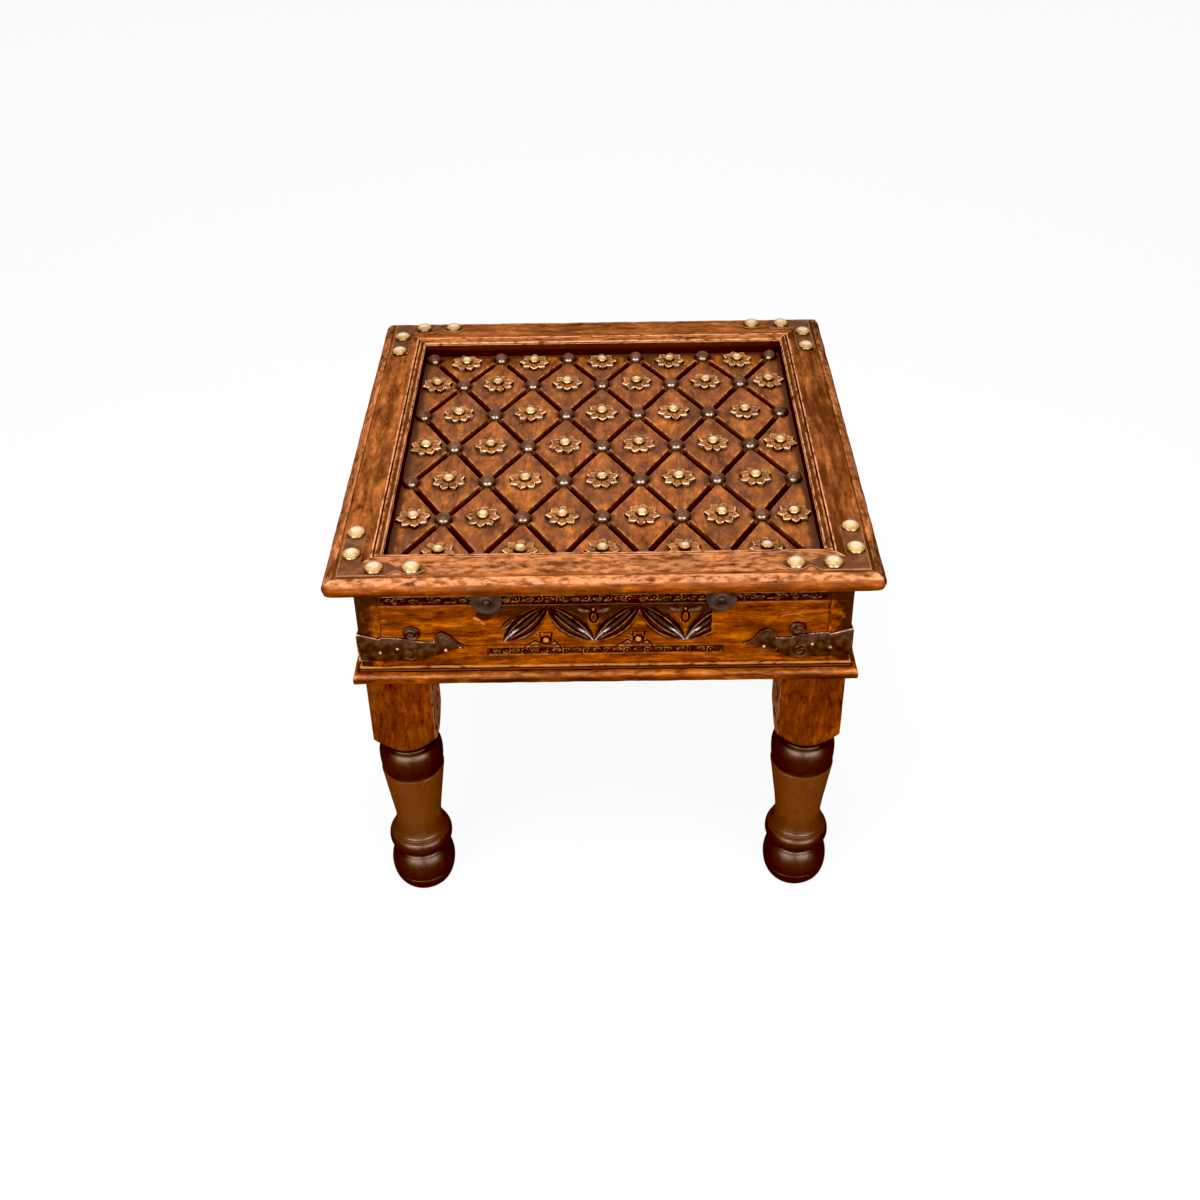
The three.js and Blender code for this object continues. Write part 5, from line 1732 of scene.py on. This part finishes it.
strap_nail_height = 0.0014


def strap_outline():
    half = curve_through(strap_points)[:-4]
    end_x, end_z, _ = strap_points[-1]
    left = [(-across, up) for across, up in reversed(half)]
    return [strap_corner_top] + half + [(end_x, end_z), *strap_corner_foot, (-end_x, end_z)] + left


# Bends a flat strap round the front left corner: reach runs along the front, negative reach along the side
def bent_round_corner(places):
    reach, up, out = np.asarray(places).T
    proud = strap_gap + out
    corner = np.abs(reach) < strap_bend
    x = np.where(corner | (reach < 0), -box_half - proud, reach - box_half)
    y = np.where(corner | (reach >= 0), -box_half - proud, -reach - box_half)
    return np.column_stack((x, y, strap_foot + up))


# A round lobe with a raised rim and a curl beaten into it
def lobe_mesh(hand, centre, radius, turns):
    steps = 12
    angles = round_angles(44)
    rings = [ring_at(radius, 0, angles)]
    for step in range(steps + 1):
        share = 1 - step / (steps + 0.6)
        curl = (share * turns - hand * angles / full_turn) % 1
        ridge = hump(curl, 0.5, 0.2) * smooth_step(0.05, 0.3, share)
        height = lobe_height * (0.62 + 0.38 * ridge) * (1 - 0.35 * smooth_step(0.9, 1.0, share))
        rings.append(ring_at(radius * share, height, angles))
    mesh = loft("lobe", rings)
    write_places(mesh, read_places(mesh) + (hand * centre[0], centre[1], 0))
    return mesh


def flat_strap():
    parts = [sheet_mesh("strap", strap_outline(), strap_thickness, strap_rim, strap_cuts)]
    for hand in (1, -1):
        outline = [(hand * across, up) for across, up in curve_through(strap_head)]
        parts.append(sheet_mesh("head", outline, strap_head_thickness, strap_head_rim))
        parts += [lobe_mesh(hand, **lobe) for lobe in (upper_lobe, lower_lobe)]
    mesh = merged("flat_strap", parts)
    face_outwards(mesh)
    return mesh


# Where a flat strap gets a painted highlight: along its upper edge; its lobes are kept dull
def strap_highlight(places):
    reach, rise, out = places.T
    reach = np.abs(reach)
    top = [place for place in strap_outline() if 0 <= place[0] < strap_head_start and place[1] > 0.019]
    lit_upper_edge = (np.abs(rise - np.interp(reach, *np.array(top).T)) < 0.0007) & (reach < strap_head_start)
    on_upper, on_lower = (
        np.hypot(reach - lobe["centre"][0], rise - lobe["centre"][1]) < lobe["radius"] + 0.0009
        for lobe in (upper_lobe, lower_lobe)
    )
    on_lobe = on_upper | on_lower & (out > 0.0013)
    return 0.4 * (lit_upper_edge & ~on_lobe) - 0.8 * on_lobe


def build_straps():
    nail = dome_unit("strap_nail", strap_nail_radius, strap_nail_height, 0.0004, 20, 6, crown_highlight=0.45)
    heads = [(hand * reach, rise, proud) for reach, rise, proud in strap_nails for hand in (1, -1)]
    for count, (corner, angle) in enumerate(corners.items()):
        strap = flat_strap()
        places = read_places(strap)
        write_places(strap, turned_places(bent_round_corner(places), angle))
        face_outwards(strap)
        note_shape(strap, 0.00022, rub_and_highlight=strap_highlight(places))
        # The strap's foot is painted with shade
        write_numbers(strap, "crease_shade", places[:, 2] < 0.0003)
        add_piece(f"{corner}_strap", strap, iron, [f"{corner}_corner_strap"])
        nails = scatter("strap_nails", heads, nail, iron, size_spread=0.15, tilt=0.1, seed=31 + count)
        write_places(nails, turned_places(bent_round_corner(read_places(nails)), angle))
        face_outwards(nails)
        add_piece(f"{corner}_strap_nails", nails, iron, [f"{corner}_corner_strap"], sharp_angle=50)


# Iron discs near the top of each apron, each with one nail
disc_radius = (disc_high.x - disc_low.x) / 2 * 0.95
disc_reach = -(disc_low.x + disc_high.x) / 2 - 0.0014
disc_drop = 0.0008
disc_thickness = 0.0016


def disc_profile():
    radius, face = disc_radius, disc_thickness
    plate = [
        (radius * 0.6, 0.0), (radius - 0.0003, 0.0), (radius, 0.0003), (radius, face * 0.6),
        (radius - 0.0006, face), (radius - 0.0018, face), (radius - 0.0026, face * 0.82),
        (radius * 0.6, face * 0.72), (radius * 0.3, face * 0.8),
    ]
    nail = [(0.0036, 0), (0.0034, 0.0008), (0.0026, 0.0018), (0.0014, 0.0022), (0.0003, 0.0022)]
    return plate + [(out, face + up) for out, up in nail]


def build_discs():
    angles = round_angles(56)
    for side, angle in sides.items():
        for hand, sign in (("left", -1), ("right", 1)):
            middle = (sign * disc_reach, disc_level - disc_drop, 0)
            rings = [ring_at(out, up + strap_gap, angles) + middle for out, up in disc_profile()]
            mesh = loft(f"{side}_{hand}_plate", rings)
            write_places(mesh, side_places(read_places(mesh), angle))
            face_outwards(mesh)
            note_shape(mesh, 0.0006)
            add_piece(f"{side}_{hand}_round_plate", mesh, black_iron, [f"{side}_{hand}_disc"])


# The cleats are shown as their CAD pieces, in plain wood
def finish_cleats():
    for side in sides:
        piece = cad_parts[f"{side}_panel_cleat"]
        for holder in piece.material_slots:
            holder.material = plain_wood


build_camera()
build_light()
build_floor()
build_rails()
build_panel_board()
build_panel_trim()
build_aprons()
build_mouldings()
build_legs()
build_corner_plates()
build_studs()
build_straps()
build_discs()
finish_cleats()
